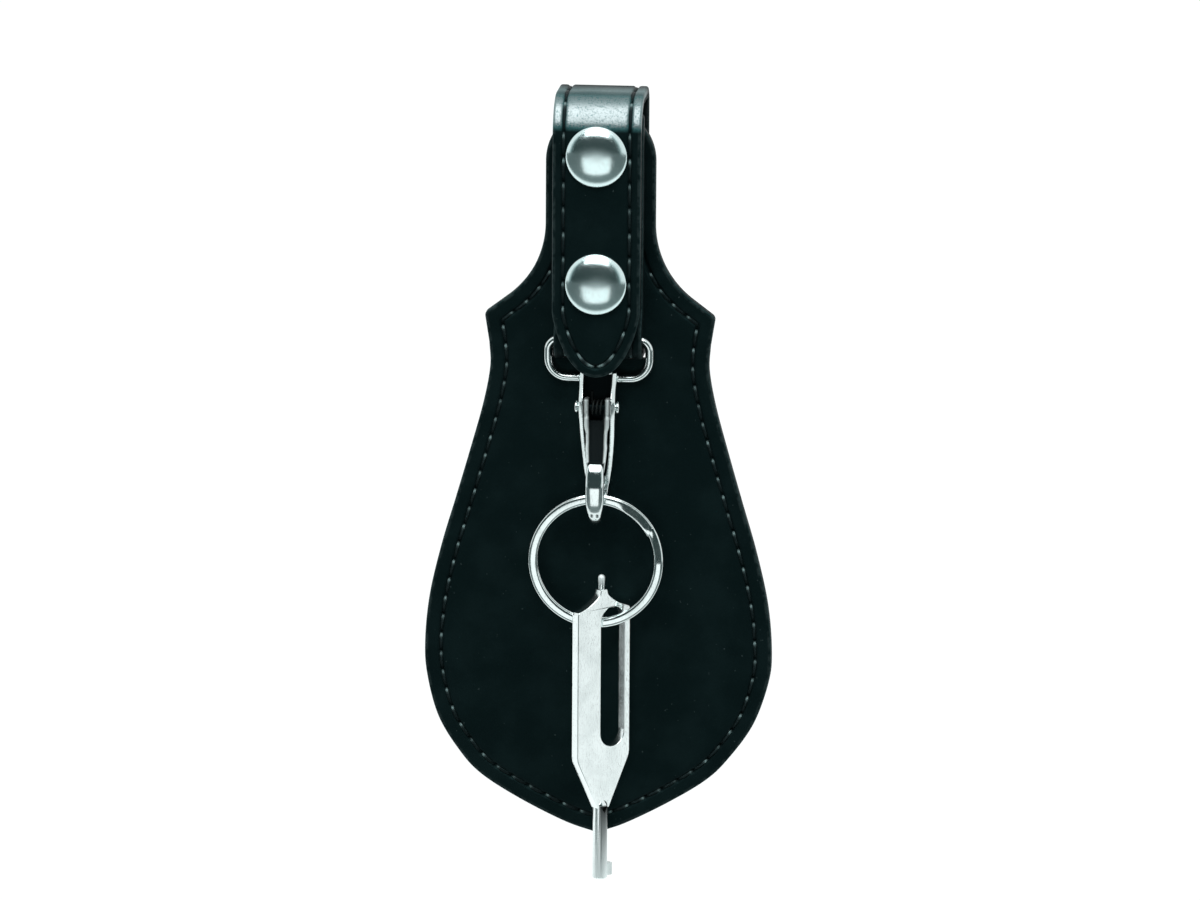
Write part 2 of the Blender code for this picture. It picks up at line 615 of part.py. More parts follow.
def build_seams():
    """The seam threads of the flap and of the tail, as plain threads on the leather."""
    seam = offset_outline(flap_outline(), FLAP_SEAM_INSET)
    turn = seam.index(min(seam, key=lambda point: point[1]))
    covers = STRAP_WIDTH / 2 + SEAT_GAP + THREAD_DIAMETER
    front = [point for point in seam[:turn + 1] if point[0] > covers or point[1] < -SHOULDER_DROP]
    back = [point for point in front if point[1] < -LOOP_HEIGHT]
    rise = SEAT_GAP + THREAD_DIAMETER / 2
    rows = (("flap_thread_front", front, -NECK_FRONT - rise), ("flap_thread_back", back, rise - NECK_BACK))
    for name, half, place in rows:
        inner = half[-3::-2]
        path = [Vector((across, place, up)) for across, up in list(reversed(inner)) + [half[-1]]]
        path += [Vector((-across, place, up)) for across, up in inner]
        add_object(name, tube(name, path, THREAD_DIAMETER), THREAD)
    low = tail_outline(STRAP_SEAM_INSET)
    for name, offset in (("tail_thread_outer", STRAP_THICKNESS + rise), ("tail_thread_inner", -rise)):
        bend = [Vector((low[0][0], depth, up)) for depth, up in tail_line(offset)[:-1]]
        half = bend + [Vector((across, -TAIL_BACK - offset, up)) for across, up in low]
        path = half + [Vector((-point.x, point.y, point.z)) for point in reversed(half[:-1])]
        add_object(name, tube(name, path, THREAD_DIAMETER), THREAD)
        attach(bpy.data.objects[name], "tail_lift")


def facing_out(depth, drop):
    """Placement of a turned piece whose axis points forward from a depth."""
    return Matrix.Translation((0.0, -depth, -drop)) @ Matrix.Rotation(math.pi / 2, 4, "X")


def build_snap(level, drop):
    """One snap fastener: cap, socket and spring on the tail; stud and post on the strap end."""
    cap_radius = CAP_DIAMETER / 2
    cap_base = STRAP_THICKNESS + SEAT_GAP
    flare = FLARE_LIP_THICKNESS - CAP_LIP
    crown = cap_base + CAP_HEIGHT
    cap = [
        (0.0, crown), (cap_radius * CAP_CROWN_SHARE, crown - CAP_HEIGHT * CAP_CROWN_FALL_SHARE),
        (cap_radius - CAP_RIM / 2, cap_base + CAP_RIM + CAP_HEIGHT * CAP_RIM_RISE_SHARE),
        (cap_radius, cap_base + CAP_RIM / 2),
        (cap_radius - CAP_RIM / 2, cap_base), (BARREL_RADIUS, cap_base), (BARREL_RADIUS, flare),
        (FLARE_LIP_RADIUS, flare), (FLARE_LIP_RADIUS, flare - FLARE_LIP_THICKNESS),
        (BARREL_BORE, flare - FLARE_LIP_THICKNESS), (BARREL_BORE, cap_base), (0.0, cap_base),
    ]
    turned(f"snap_cap_{level}", cap, facing_out(TAIL_BACK, drop), closed=False, look=NICKEL)

    base = SNAP_HEIGHT - SEAT_GAP
    mouth = STUD_FLANGE_THICKNESS + 2 * SEAT_GAP
    socket = [
        (SOCKET_FLANGE_RADIUS, base), (SOCKET_FLANGE_RADIUS, base - SOCKET_SHEET),
        (SOCKET_CUP_RADIUS, base - SOCKET_SHEET), (SOCKET_CUP_RADIUS, mouth + SOCKET_SHEET),
        (SOCKET_CUP_RADIUS - SOCKET_SHEET, mouth), (SOCKET_MOUTH_RADIUS, mouth),
        (SOCKET_MOUTH_RADIUS, mouth + SOCKET_SHEET), (SOCKET_GROOVE_RADIUS, mouth + SOCKET_SHEET),
        (SOCKET_GROOVE_RADIUS, base - SOCKET_SHEET), (BARREL_RADIUS + SEAT_GAP, base - SOCKET_SHEET),
        (BARREL_RADIUS + SEAT_GAP, base),
    ]
    turned(f"snap_socket_{level}", socket, facing_out(STRAP_END_FRONT, drop), look=NICKEL)

    bore = BARREL_RADIUS + SEAT_GAP
    stud = [
        (bore, STUD_TOP), (STUD_WAIST_RADIUS, STUD_TOP), (STUD_BULGE_RADIUS, STUD_TOP - STUD_HEAD_HEIGHT / 2),
        (STUD_WAIST_RADIUS, STUD_TOP - STUD_HEAD_HEIGHT), (STUD_WAIST_RADIUS, STUD_FOOT),
        (STUD_FLANGE_RADIUS, STUD_FOOT), (STUD_FLANGE_RADIUS, SEAT_GAP), (bore, SEAT_GAP),
    ]
    turned(f"snap_stud_{level}", stud, facing_out(STRAP_END_FRONT, drop), look=NICKEL)

    seat = FLAP_FACE_BACK - SEAT_GAP
    top = STRAP_END_FRONT + POST_TOP - seat + POST_FLANGE_THICKNESS
    lip = FLARE_LIP_RADIUS - FLARE_LIP_THICKNESS
    post = [
        (0.0, POST_FLANGE_THICKNESS), (BARREL_BORE, POST_FLANGE_THICKNESS), (BARREL_BORE, top),
        (lip, top),
        (lip, top - FLARE_LIP_THICKNESS), (BARREL_RADIUS, top - FLARE_LIP_THICKNESS),
        (BARREL_RADIUS, POST_FLANGE_THICKNESS), (POST_FLANGE_RADIUS, POST_FLANGE_THICKNESS),
        (POST_FLANGE_RADIUS, 0.0), (0.0, 0.0),
    ]
    place = facing_out(seat - POST_FLANGE_THICKNESS, drop)
    turned(f"snap_post_{level}", post, place, closed=False, look=NICKEL)

    spring_height = mouth + SOCKET_SHEET + SEAT_GAP / 2 + SPRING_WIRE / 2
    sweep = 2 * math.pi - SPRING_OPENING
    path = []
    for step in range(ROUND_STEPS - 3):
        angle = -math.pi / 2 + SPRING_OPENING / 2 + sweep * step / (ROUND_STEPS - 4)
        across, up = SPRING_RADIUS * math.cos(angle), SPRING_RADIUS * math.sin(angle)
        path.append(Vector((across, -STRAP_END_FRONT - spring_height, up - drop)))
    name = f"snap_spring_{level}"
    add_object(name, tube(name, path, SPRING_WIRE), SPRING_STEEL)
    for piece in ("cap", "socket", "spring"):
        attach(bpy.data.objects[f"snap_{piece}_{level}"], "tail_lift")


def eye_path():
    """Centre line of the strap eye: a loop with tighter corners above than below."""
    half = (EYE_WIDTH - EYE_WIRE) / 2
    points = []
    corners = (
        (half, -BAR_DROP, EYE_TOP_CORNER, math.pi / 2), (half, -LOW_BAR_DROP, EYE_LOW_CORNER, 0.0),
        (-half, -LOW_BAR_DROP, EYE_LOW_CORNER, -math.pi / 2), (-half, -BAR_DROP, EYE_TOP_CORNER, math.pi),
    )
    for across, up, radius, start in corners:
        inwards = -radius if start >= math.pi / 2 else radius
        centre = (across - math.copysign(radius, across), up + inwards)
        points.extend(arc(centre, radius, start, start - math.pi / 2, 5))
    return [Vector((across, -BAR_DEPTH, up)) for across, up in points]


def hook_sections():
    """Sections of the hook from the top of the spine, round the bend and up to the nose tip."""
    half = HOOK_WIDTH / 2
    top = LOW_BAR_DROP - HOOK_TOP_RISE - SEAT_GAP
    across = Vector((1.0, 0.0, 0.0))
    back = Vector((0.0, 1.0, 0.0))
    spine = [(top, half)]
    spine += [(LOW_BAR_DROP + HOOK_REACH * reach, half * wide) for reach, wide in SPINE_SHARES]
    spine.append((HOOK_BEND_DROP, half * BEND_START_SHARE))
    sections = []
    for drop, wide in spine:
        start = Vector((0.0, -SPINE_FRONT, -drop))
        rounding = SPINE_THICKNESS * SECTION_ROUND_SHARE
        sections.append(round_section(start, across, back, wide, SPINE_THICKNESS, rounding))
    centre = Vector((0.0, -RING_DEPTH, -HOOK_BEND_DROP))
    for step in range(1, 9):
        share = step / 8
        angle = -math.pi * share
        outward = Vector((0.0, math.cos(angle), math.sin(angle)))
        swell = math.sin(math.pi * share)
        side = SPINE_THICKNESS + (NOSE_THICKNESS - SPINE_THICKNESS) * share
        thick = side + (BEND_THICKNESS - side) * swell ** 2
        ends = BEND_START_SHARE + (NOSE_SHARE - BEND_START_SHARE) * share
        wide = half * (ends + (BEND_LOW_SHARE - ends) * swell ** 2)
        rounding = min(thick, 2 * wide) * SECTION_ROUND_SHARE
        sections.append(round_section(centre + outward * BEND_RADIUS, across, outward, wide, thick, rounding))
    forward = -back
    for rise_share, thick_share, wide_share in NOSE_SHARES:
        start = Vector((0.0, -NOSE_BACK, NOSE_RISE * rise_share - HOOK_BEND_DROP))
        thick = NOSE_THICKNESS * thick_share
        rounding = thick * SECTION_ROUND_SHARE
        sections.append(round_section(start, across, forward, half * wide_share, thick, rounding))
    return sections


def cheek_outline():
    """Side outline (y, z) of a cheek, round the low bar and the gate's pin, down to its heel."""
    top = HOOK_TOP_RISE - LOW_BAR_DROP
    back = SPINE_THICKNESS / 2 - BAR_DEPTH - CHEEK_INSET
    pin_front = -PIN_DEPTH - CHEEK_RADIUS
    low = -PIN_DROP - CHEEK_RADIUS
    corners = (
        (back, top), (-SPINE_FRONT - SEAT_GAP, top), (pin_front, CHEEK_RADIUS - PIN_DROP), (pin_front, low),
        (-SPINE_FRONT - SEAT_GAP, -CHEEK_HEEL_DROP), (back, -CHEEK_HEEL_DROP),
    )
    return round_polygon(corners, CHEEK_CORNER, 3)


def pin_cutter(name, length):
    """A cutter for the gate pin's holes."""
    hole = circle((-PIN_DEPTH, -PIN_DROP), PIN_RADIUS + SEAT_GAP, ROUND_STEPS // 2)
    return add_object(name, plate(name, [hole], length, side_plane(0.0)))


def build_hook():
    """The one-piece hook: strap eye, two cheeks, spine, bend and nose."""
    drill = pin_cutter("hook_pin_drill", HOOK_WIDTH + OVERRUN)
    body = add_object("hook_body", loft("hook_body", hook_sections()), NICKEL)
    eye = add_object("hook_eye", tube("hook_eye", eye_path(), EYE_WIRE, closed=True, sides=8))
    boolean(body, eye, "UNION")
    for side, word in ((-1, "left"), (1, "right")):
        place = side_plane(side * (HOOK_WIDTH / 2 - CHEEK_INSET - CHEEK_THICKNESS / 2))
        cheek = plate("cheek", [cheek_outline()], CHEEK_THICKNESS, place)
        boolean(body, add_object(f"hook_cheek_{word}", cheek), "UNION")
    boolean(body, drill, "DIFFERENCE")
    attach(body, "hook_swing")


def gate_frame():
    """The gate's pin centre, its direction down to the tip and its forward direction."""
    pin = Vector((0.0, -PIN_DEPTH, -PIN_DROP))
    tip = Vector((0.0, -GATE_TIP_DEPTH, -GATE_END_DROP))
    down = (tip - pin).normalized()
    forward = Vector((0.0, down.z, -down.y))
    return pin, down, forward, (tip - pin).length


def build_gate():
    """The gate: a tapered channel with two ears on the pin, open to the front."""
    pin, down, forward, length = gate_frame()
    across = Vector((1.0, 0.0, 0.0))
    sections = []
    for run_share in (-GATE_EAR_RISE / length, GATE_EAR_SHARE, 1.0):
        share = max(0.0, run_share - GATE_EAR_SHARE) / (1 - GATE_EAR_SHARE)
        wide = GATE_EAR_HALF_WIDTH + (GATE_TIP_HALF_WIDTH - GATE_EAR_HALF_WIDTH) * share
        deep = GATE_EAR_HALF_DEPTH + (GATE_TIP_HALF_DEPTH - GATE_EAR_HALF_DEPTH) * max(0.0, run_share)
        flange = GATE_FLANGE + (GATE_TIP_FLANGE - GATE_FLANGE) * share
        web = GATE_WEB + (GATE_TIP_WEB - GATE_WEB) * share
        start = pin + down * (length * run_share)
        inner = wide - flange
        ring = (
            (-wide, -deep), (wide, -deep), (wide, deep), (inner, deep), (inner, web - deep),
            (-inner, web - deep), (-inner, deep), (-wide, deep),
        )
        sections.append([start + across * side + forward * depth for side, depth in ring])
    gate = add_object("hook_gate", loft("hook_gate", sections), NICKEL)
    inner = GATE_EAR_HALF_WIDTH - GATE_FLANGE
    reach = GATE_EAR_HALF_DEPTH + OVERRUN
    window = []
    for run in (-GATE_EAR_RISE - OVERRUN, GATE_WINDOW):
        place = pin + down * run
        corners = ((-inner, -reach), (inner, -reach), (inner, reach), (-inner, reach))
        window.append([place + across * side + forward * depth for side, depth in corners])
    boolean(gate, add_object("gate_window", loft("gate_window", window)), "DIFFERENCE")
    boolean(gate, pin_cutter("gate_pin_drill", HOOK_WIDTH), "DIFFERENCE")
    attach(gate, "gate_open")

    half = HOOK_WIDTH / 2 + SEAT_GAP
    rivet = [
        (0.0, half + PIN_HEAD_HEIGHT), (PIN_HEAD_RADIUS * PIN_HEAD_CROWN_SHARE, half + PIN_HEAD_HEIGHT),
        (PIN_HEAD_RADIUS, half + PIN_HEAD_HEIGHT / 2), (PIN_HEAD_RADIUS, half), (PIN_RADIUS, half),
    ]
    profile = rivet + [(radius, -height) for radius, height in reversed(rivet)]
    place = Matrix.Translation(pin) @ Matrix.Rotation(math.pi / 2, 4, "Y")
    turned("gate_pin", profile, place, closed=False, look=NICKEL)
    attach(bpy.data.objects["gate_pin"], "hook_swing")

    path = gate_spring_path(pin, down, forward)
    add_object("gate_spring", tube("gate_spring", path, GATE_SPRING_WIRE), SPRING_STEEL)
    attach(bpy.data.objects["gate_spring"], "hook_swing")
    print(f"gate_spring least gap to itself: {least_gap(path, GATE_SPRING_WIRE, COIL_STEPS) / MM:.2f} mm")


def gate_spring_path(pin, down, forward):
    """Torsion spring: a leg up the spine, turns about the pin and a leg down the gate's channel."""
    half = GATE_SPRING_PITCH * GATE_SPRING_TURNS / 2
    back = Vector((0.0, 1.0, 0.0))
    start = pin + back * GATE_SPRING_RADIUS
    path = [start + Vector((-half, 0.0, rise)) for rise in (GATE_SPRING_LEG, GATE_SPRING_LEG / 3)]
    count = COIL_STEPS * GATE_SPRING_TURNS
    for step in range(count + 1):
        angle = -2 * math.pi * step / COIL_STEPS
        place = Vector((0.0, math.cos(angle), math.sin(angle))) * GATE_SPRING_RADIUS
        path.append(pin + place + Vector((half * (2 * step / count - 1), 0.0, 0.0)))
    inside = GATE_EAR_HALF_DEPTH - GATE_WEB - SEAT_GAP - GATE_SPRING_WIRE
    for run in (GATE_WINDOW + SEAT_GAP, GATE_WINDOW + GATE_SPRING_LEG / 2):
        path.append(pin + down * run - forward * inside + Vector((half + GATE_SPRING_SPLAY, 0.0, 0.0)))
    return path


def least_gap(path, thickness, skip):
    """Least free distance between a path's points and its stretches about a turn or more away."""
    nearest = math.inf
    for first, point in enumerate(path):
        for second in range(len(path) - 1):
            if abs(first - second) >= skip - 2:
                foot, share = intersect_point_line(point, path[second], path[second + 1])
                foot = path[second].lerp(path[second + 1], min(1.0, max(0.0, share)))
                nearest = min(nearest, (point - foot).length)
    return nearest - thickness


def ring_centre_line():
    """Centre line of the split ring: two flat turns joined by a short jog."""
    side = (RING_HEIGHT - RING_AXIAL) / 2
    total = 4 * math.pi - RING_JOG - RING_END_GAP
    count = round(total / (2 * math.pi) * RING_STEPS)
    places = []
    for step in range(count + 1):
        run = total * step / count
        share = min(1.0, max(0.0, (run - 2 * math.pi + RING_JOG) / RING_JOG))
        ease = share * share * (3 - 2 * share)
        angle = RING_JOG_PLACE + run
        radial = Vector((math.cos(angle), 0.0, math.sin(angle)))
        centre = Vector((0.0, -RING_DEPTH + side * (2 * ease - 1), -RING_DROP))
        places.append((centre + radial * RING_RADIUS, radial))
    return places


def build_ring():
    """The split ring, a flat wire of rounded section wound twice."""
    axis = Vector((0.0, 1.0, 0.0))
    places = ring_centre_line()
    sections = []
    for place, radial in places:
        inner = place - radial * (RING_RADIAL / 2)
        sections.append(round_section(inner, axis, radial, RING_AXIAL / 2, RING_RADIAL, RING_ROUND))
    ring = add_object("split_ring", loft("split_ring", sections), NICKEL)
    attach(ring, "ring_swing")
    gap = least_gap([place for place, radial in places], RING_AXIAL, RING_STEPS)
    print(f"split_ring least gap to itself: {gap / MM:.2f} mm")


def key_outline():
    """Front outline (u, z) of the key's plate, with u along its width and z from its slot top."""
    half = KEY_WIDTH / 2
    barrel = KEY_BARREL_RADIUS
    side_low = KEY_SHOULDER_RISE - KEY_SIDE_LENGTH
    right = [
        (KEY_PIN_RADIUS, KEY_APEX_RISE), (half, KEY_SHOULDER_RISE), (half, side_low),
        (barrel, side_low - KEY_TAPER_LENGTH),
    ]
    return right + [(-across, rise) for across, rise in reversed(right)]


def slot_outline():
    """The long slot of the key, with round ends."""
    radius = KEY_SLOT_WIDTH / 2
    top = (KEY_SLOT_OFFSET, -radius)
    low = (KEY_SLOT_OFFSET, radius - KEY_SLOT_LENGTH)
    return arc(top, radius, math.pi, 0.0, 10) + arc(low, radius, 0.0, -math.pi, 10)


def build_key():
    """The flat key: slotted plate, release pin on top, hollow barrel with its bit below."""
    centre = (KEY_SIDE_SHIFT, -KEY_DEPTH, -KEY_SLOT_TOP)
    place = Matrix.Translation(centre) @ Matrix.Rotation(KEY_YAW, 4, "Z")
    stand = place @ Matrix.Rotation(math.pi / 2, 4, "X")
    low = KEY_SHOULDER_RISE - KEY_SIDE_LENGTH - KEY_TAPER_LENGTH
    end = low - KEY_BARREL_LENGTH
    body = plate("flat_key", [key_outline(), slot_outline()], KEY_THICKNESS, stand)
    key = add_object("flat_key", body, KEY_STEEL)
    pin = [
        (0.0, KEY_PIN_RISE), (KEY_PIN_RADIUS / 2, KEY_PIN_RISE),
        (KEY_PIN_RADIUS, KEY_PIN_RISE - KEY_PIN_RADIUS), (KEY_PIN_RADIUS, 0.0), (0.0, 0.0),
    ]
    barrel = [(0.0, low + OVERRUN), (KEY_BARREL_RADIUS, low + OVERRUN), (KEY_BARREL_RADIUS, end)]
    barrel += [(KEY_BORE_RADIUS, end), (KEY_BORE_RADIUS, end + KEY_BORE_DEPTH), (0.0, end + KEY_BORE_DEPTH)]
    boolean(key, turned("key_pin", pin, place, closed=False), "UNION")
    boolean(key, turned("key_barrel", barrel, place, closed=False), "UNION")
    reach = KEY_BARREL_RADIUS + KEY_BIT_REACH
    wall = (KEY_BARREL_RADIUS + KEY_BORE_RADIUS) / 2
    bottom = end + KEY_BIT_RISE
    bit = [(wall, bottom), (reach, bottom), (reach, bottom + KEY_BIT_HEIGHT), (wall, bottom + KEY_BIT_HEIGHT)]
    boolean(key, add_object("key_bit", plate("key_bit", [bit], KEY_BIT_THICKNESS, stand)), "UNION")
    attach(key, "key_swing")


def make_axes():
    """One empty on each joint's axis, which the moving pieces hang from."""
    places = {
        "tail_lift": (TAIL_AXIS_DEPTH, TAIL_AXIS_Z),
        "hook_swing": (BAR_DEPTH, -BAR_DROP),
        "gate_open": (PIN_DEPTH, -PIN_DROP),
        "ring_swing": (RING_DEPTH, -HOOK_BEND_DROP),
        "key_swing": (RING_DEPTH, -KEY_AXIS_DROP),
    }
    for name, (depth, up) in places.items():
        axis = bpy.data.objects.new(name + "_axis", None)
        axis.location = (0.0, -depth, up)
        PARTS.objects.link(axis)
        AXES[name] = axis
    bpy.context.view_layer.update()
    nested = (("gate_open", "hook_swing"), ("ring_swing", "hook_swing"), ("key_swing", "ring_swing"))
    for child, parent in nested:
        attach(AXES[child], parent)


def attach(item, axis):
    """Hang a piece from a joint's empty without moving it."""
    bpy.context.view_layer.update()
    place = item.matrix_world.copy()
    item.parent = AXES[axis]
    item.matrix_parent_inverse = AXES[axis].matrix_world.inverted()
    item.matrix_world = place


clear_scene()
PARTS = make_collection("belt_key_holder")
CUTTERS = make_collection("cutters")
AXES = {}
DRILLS = []
make_axes()
build_strap()
build_flap()
build_seams()
for snap_level, snap_drop in zip(("upper", "lower"), SNAP_DROPS):
    build_snap(snap_level, snap_drop)
build_hook()
build_gate()
build_ring()
build_key()
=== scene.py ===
"""Looks of the belt key holder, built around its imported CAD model.

Everything is in metres in the CAD's frame: +Z up, -Y away from the wearer, +X to the right from the front.
A leather ply is shaped flat first: an outline of (across, along) points with a rounded edge, a seam groove
and a pit at each stitch hole. It is then laid on the flap's plane or bent along the strap's line.
"""
import json
import math
import random

import bmesh
import bpy
import numpy as np
from mathutils import Matrix, Vector, noise

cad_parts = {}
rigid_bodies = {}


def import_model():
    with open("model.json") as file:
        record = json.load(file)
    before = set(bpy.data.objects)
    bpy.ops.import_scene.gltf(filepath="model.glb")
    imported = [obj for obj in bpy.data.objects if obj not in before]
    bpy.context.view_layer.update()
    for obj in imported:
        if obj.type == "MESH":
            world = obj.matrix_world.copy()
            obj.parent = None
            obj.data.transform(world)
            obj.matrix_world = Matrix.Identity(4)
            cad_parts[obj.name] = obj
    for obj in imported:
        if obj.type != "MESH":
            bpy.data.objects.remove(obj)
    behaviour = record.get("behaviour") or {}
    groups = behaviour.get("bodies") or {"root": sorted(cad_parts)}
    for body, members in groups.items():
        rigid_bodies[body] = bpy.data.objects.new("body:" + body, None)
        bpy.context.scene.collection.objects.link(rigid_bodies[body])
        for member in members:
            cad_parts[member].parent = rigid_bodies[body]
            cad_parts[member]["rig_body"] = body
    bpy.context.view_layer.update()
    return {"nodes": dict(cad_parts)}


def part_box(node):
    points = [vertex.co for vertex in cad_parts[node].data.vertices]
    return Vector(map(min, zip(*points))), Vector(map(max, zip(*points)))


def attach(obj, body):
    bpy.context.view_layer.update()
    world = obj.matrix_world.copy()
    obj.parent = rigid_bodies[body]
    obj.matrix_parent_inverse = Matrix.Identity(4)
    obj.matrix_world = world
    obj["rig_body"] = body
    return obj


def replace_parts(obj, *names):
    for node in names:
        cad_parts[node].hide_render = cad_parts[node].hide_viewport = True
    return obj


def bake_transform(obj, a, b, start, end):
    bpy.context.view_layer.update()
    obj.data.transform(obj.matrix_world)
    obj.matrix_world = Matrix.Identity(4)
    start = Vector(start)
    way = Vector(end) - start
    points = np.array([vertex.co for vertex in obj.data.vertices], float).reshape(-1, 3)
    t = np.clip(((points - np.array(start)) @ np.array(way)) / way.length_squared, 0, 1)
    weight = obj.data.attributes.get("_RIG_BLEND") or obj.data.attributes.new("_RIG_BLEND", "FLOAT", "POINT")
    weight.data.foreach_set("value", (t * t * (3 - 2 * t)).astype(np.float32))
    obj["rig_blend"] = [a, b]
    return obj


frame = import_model()

MM = 0.001
SEED = 7
# Lengths and steps smaller than this count as none
TINY = 1e-9

# Depths (distances forward of the belt's middle plane) and spans read from the frame
FLAP_BACK = -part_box("flap_lining")[1].y
LINING_FRONT = -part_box("flap_lining")[0].y
FLAP_FRONT = -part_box("flap_face")[0].y
FLAP_HALF_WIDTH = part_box("flap_face")[1].x
FLAP_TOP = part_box("flap_face")[1].z
FLAP_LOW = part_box("flap_face")[0].z
STRAP_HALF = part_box("strap_outer_tail")[1].x
TAIL_FRONT = -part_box("strap_outer_tail")[0].y
TAIL_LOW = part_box("strap_outer_tail")[0].z

# Strap, as in the part's source but for the rounder tip of its tail and 0.1 mm more of lining
STRAP_LINING = 1.2 * MM
STRAP_THICKNESS = 2.8 * MM
TAIL_BACK = TAIL_FRONT - STRAP_THICKNESS
FRONT_BEND_RADIUS = 6.5 * MM
SPLIT_ANGLE = math.radians(34.5)
BLEND_ANGLE = math.radians(26.0)
REAR_TOP_RADIUS = 1.5 * MM
REAR_LOW_RADIUS = 2.5 * MM
BELT_HALF = 3.25 * MM
LOOP_HEIGHT = 60.2 * MM
BAR_DEPTH = 7.55 * MM
BAR_DROP = 58.4 * MM
FOLD_RADIUS = 1.8 * MM
RAMP_ANGLE = math.radians(30.0)
RAMP_LOW_RADIUS = 3.0 * MM
RAMP_HIGH_RADIUS = 5.0 * MM
RAMP_RISE = 0.8 * MM
STRAP_END_BACK = 6.3 * MM
STRAP_END_TOP = 2.3 * MM
TAIL_TAPER = 15.5 * MM
TAIL_SHOULDER_SHARES = (0.875, 0.55)
TAIL_TIP_SHARE = 0.56
END_CORNER = 1.2 * MM
# How glossy the strap is, and how much painted teal sheen its colour gets, by the angle round its front bend
BEND_GLOSS_AND_SHEEN = ((-70.0, -12.0, 14.0, 38.0, 70.0, 84.0), (0.0, 0.36, 0.22, 0.95, 0.95, 0.0))

# Flap, as in the part's source but for a slightly fuller body
NECK_RADIUS = 13.4 * MM
NECK_CROWN_SHARE = 0.926
NECK_LENGTH = 27.8 * MM
FLARE_RADIUS = 23.0 * MM
FLARE_ANGLE = math.radians(53.0)
SHOULDER_RUN = 7.07 * MM
SHOULDER_RADIUS = 1.5 * MM
FLAP_BODY_SHARES = (
    (0.634, 0.057), (0.629, 0.103), (0.667, 0.172), (0.744, 0.265), (0.824, 0.356), (0.906, 0.448),
    (0.974, 0.546), (1.000, 0.634), (0.988, 0.700), (0.922, 0.781), (0.800, 0.847), (0.672, 0.892),
    (0.448, 0.938), (0.186, 0.980), (0.0, 1.0),
)
SLOT_HALF = 11.25 * MM
SLOT_TOP = 0.3 * MM - LOOP_HEIGHT
SLOT_HEIGHT = 3.4 * MM
SLOT_CORNER = 0.5 * MM
POST_HOLE_RADIUS = 4.6 * MM
CUTTER_DEPTH = 12.0 * MM
SNAP_DROPS = (11.6 * MM, 42.9 * MM)
# How far behind the middle of the flap's front ply its two plies meet
PLY_SHIFT = 0.65 * MM
# The flap waves a little, and the wave sets in below the slot over this run
FLAP_WAVE = 0.16 * MM
FLAP_WAVE_SPAN = 38.0 * MM
FLAP_WAVE_START = LOOP_HEIGHT + 4.0 * MM
FLAP_WAVE_RUN = 20.0 * MM
# Its right side draws in below this drop, by this share and power
FLAP_DRAW = (140.0 * MM, 0.6, 1.4)

# Leather edges and seams
POINT_SPACING = 0.42 * MM
FACE_EDGE_RADIUS = 0.6 * MM
LINING_EDGE_RADIUS = 0.45 * MM
INNER_EDGE_RADIUS = 0.12 * MM
# Glossiness with painted sheen on part of the edge's rounding
EDGE_GLOSS_AND_SHEEN = 0.07
GLOSS_BAND = (0.1, 0.5)
# Wear with a painted edge highlight on the edge's roundings, less on its outermost side
EDGE_WEAR_AND_LIGHT = (0.08, 0.3)
EDGE_WEAR_AND_LIGHT_INSET = 0.1 * MM
EDGE_MARGIN = 0.35 * MM
INSET_SLACK = 0.03 * MM
GROOVE_DEPTH = 0.42 * MM
# Millimetres across the groove and share of its depth
GROOVE_PROFILE = (
    (-1.0, 0.0), (-0.62, 0.16), (-0.36, 0.72), (0.0, 1.0), (0.36, 0.72), (0.62, 0.16), (1.0, 0.0),
)
PIT_DEPTH = 0.5 * MM
PIT_RADIUS = 0.5 * MM
FLAP_SEAM_INSET = 4.0 * MM
FLAP_PITCH = 4.7 * MM
FLAP_COLUMNS = 24
STRAP_SEAM_INSET = 2.7 * MM
STRAP_PITCH = 6.0 * MM
STRAP_COLUMNS = 10
# The flap's seam stops this far beside the strap, and this far under the slot at the back
SEAM_COVER = 0.8 * MM
BACK_SEAM_DROP = 1.5 * MM

# Stitches: the mesh of each, how it bends down into its holes, slant and lift in millimetres, and the painted
# highlight near their ends
STITCH_SIDES = 8
STITCH_STATIONS = 9
STITCH_GAP = 0.04
STITCH_ARCH = 0.6
STITCH_WAIST = 0.8
STITCH_DIVE = 0.62 * MM
STITCH_REACH = 0.2 * MM
STITCH_OVAL = (1.12, 0.9)
STITCH_SLANT = 0.07
STITCH_LIFT = 0.03
STITCH_GLINT = (0.25, 1.0)
FLAP_SINK = GROOVE_DEPTH * 0.55
STRAP_SINK = GROOVE_DEPTH * 0.5
THREAD_RADIUS = 0.36 * MM
THREAD_GLINTS = (0.0, 1.0, 0.12, 0.0, 0.0, 0.0, 0.0, 0.0, 0.0)
# Stitches near the tail's tip get more painted highlight
TIP_GLINTS = (0.0, 0.9, 0.6, 0.1, 0.0, 0.15, 0.8, 1.0, 0.1)
TIP_GLINT_LEAST = 0.7
TIP_GLINT_RUN = 7.5 * MM

# Snap caps
CAP_RADIUS = 7.5 * MM
CAP_HEIGHT = 2.6 * MM
CAP_EDGE_HEIGHT = 0.65 * MM
CAP_DOME_POWERS = (2.4, 0.617)
CAP_FOOT = 1.2 * MM
CAP_SINK = 0.05 * MM
CAP_TILTS = {"upper": 0.0, "lower": math.radians(-2.5)}
STEM_RADIUS = 1.45 * MM
STEM_TOP = 0.5 * MM
STEM_LOW = -3.9 * MM

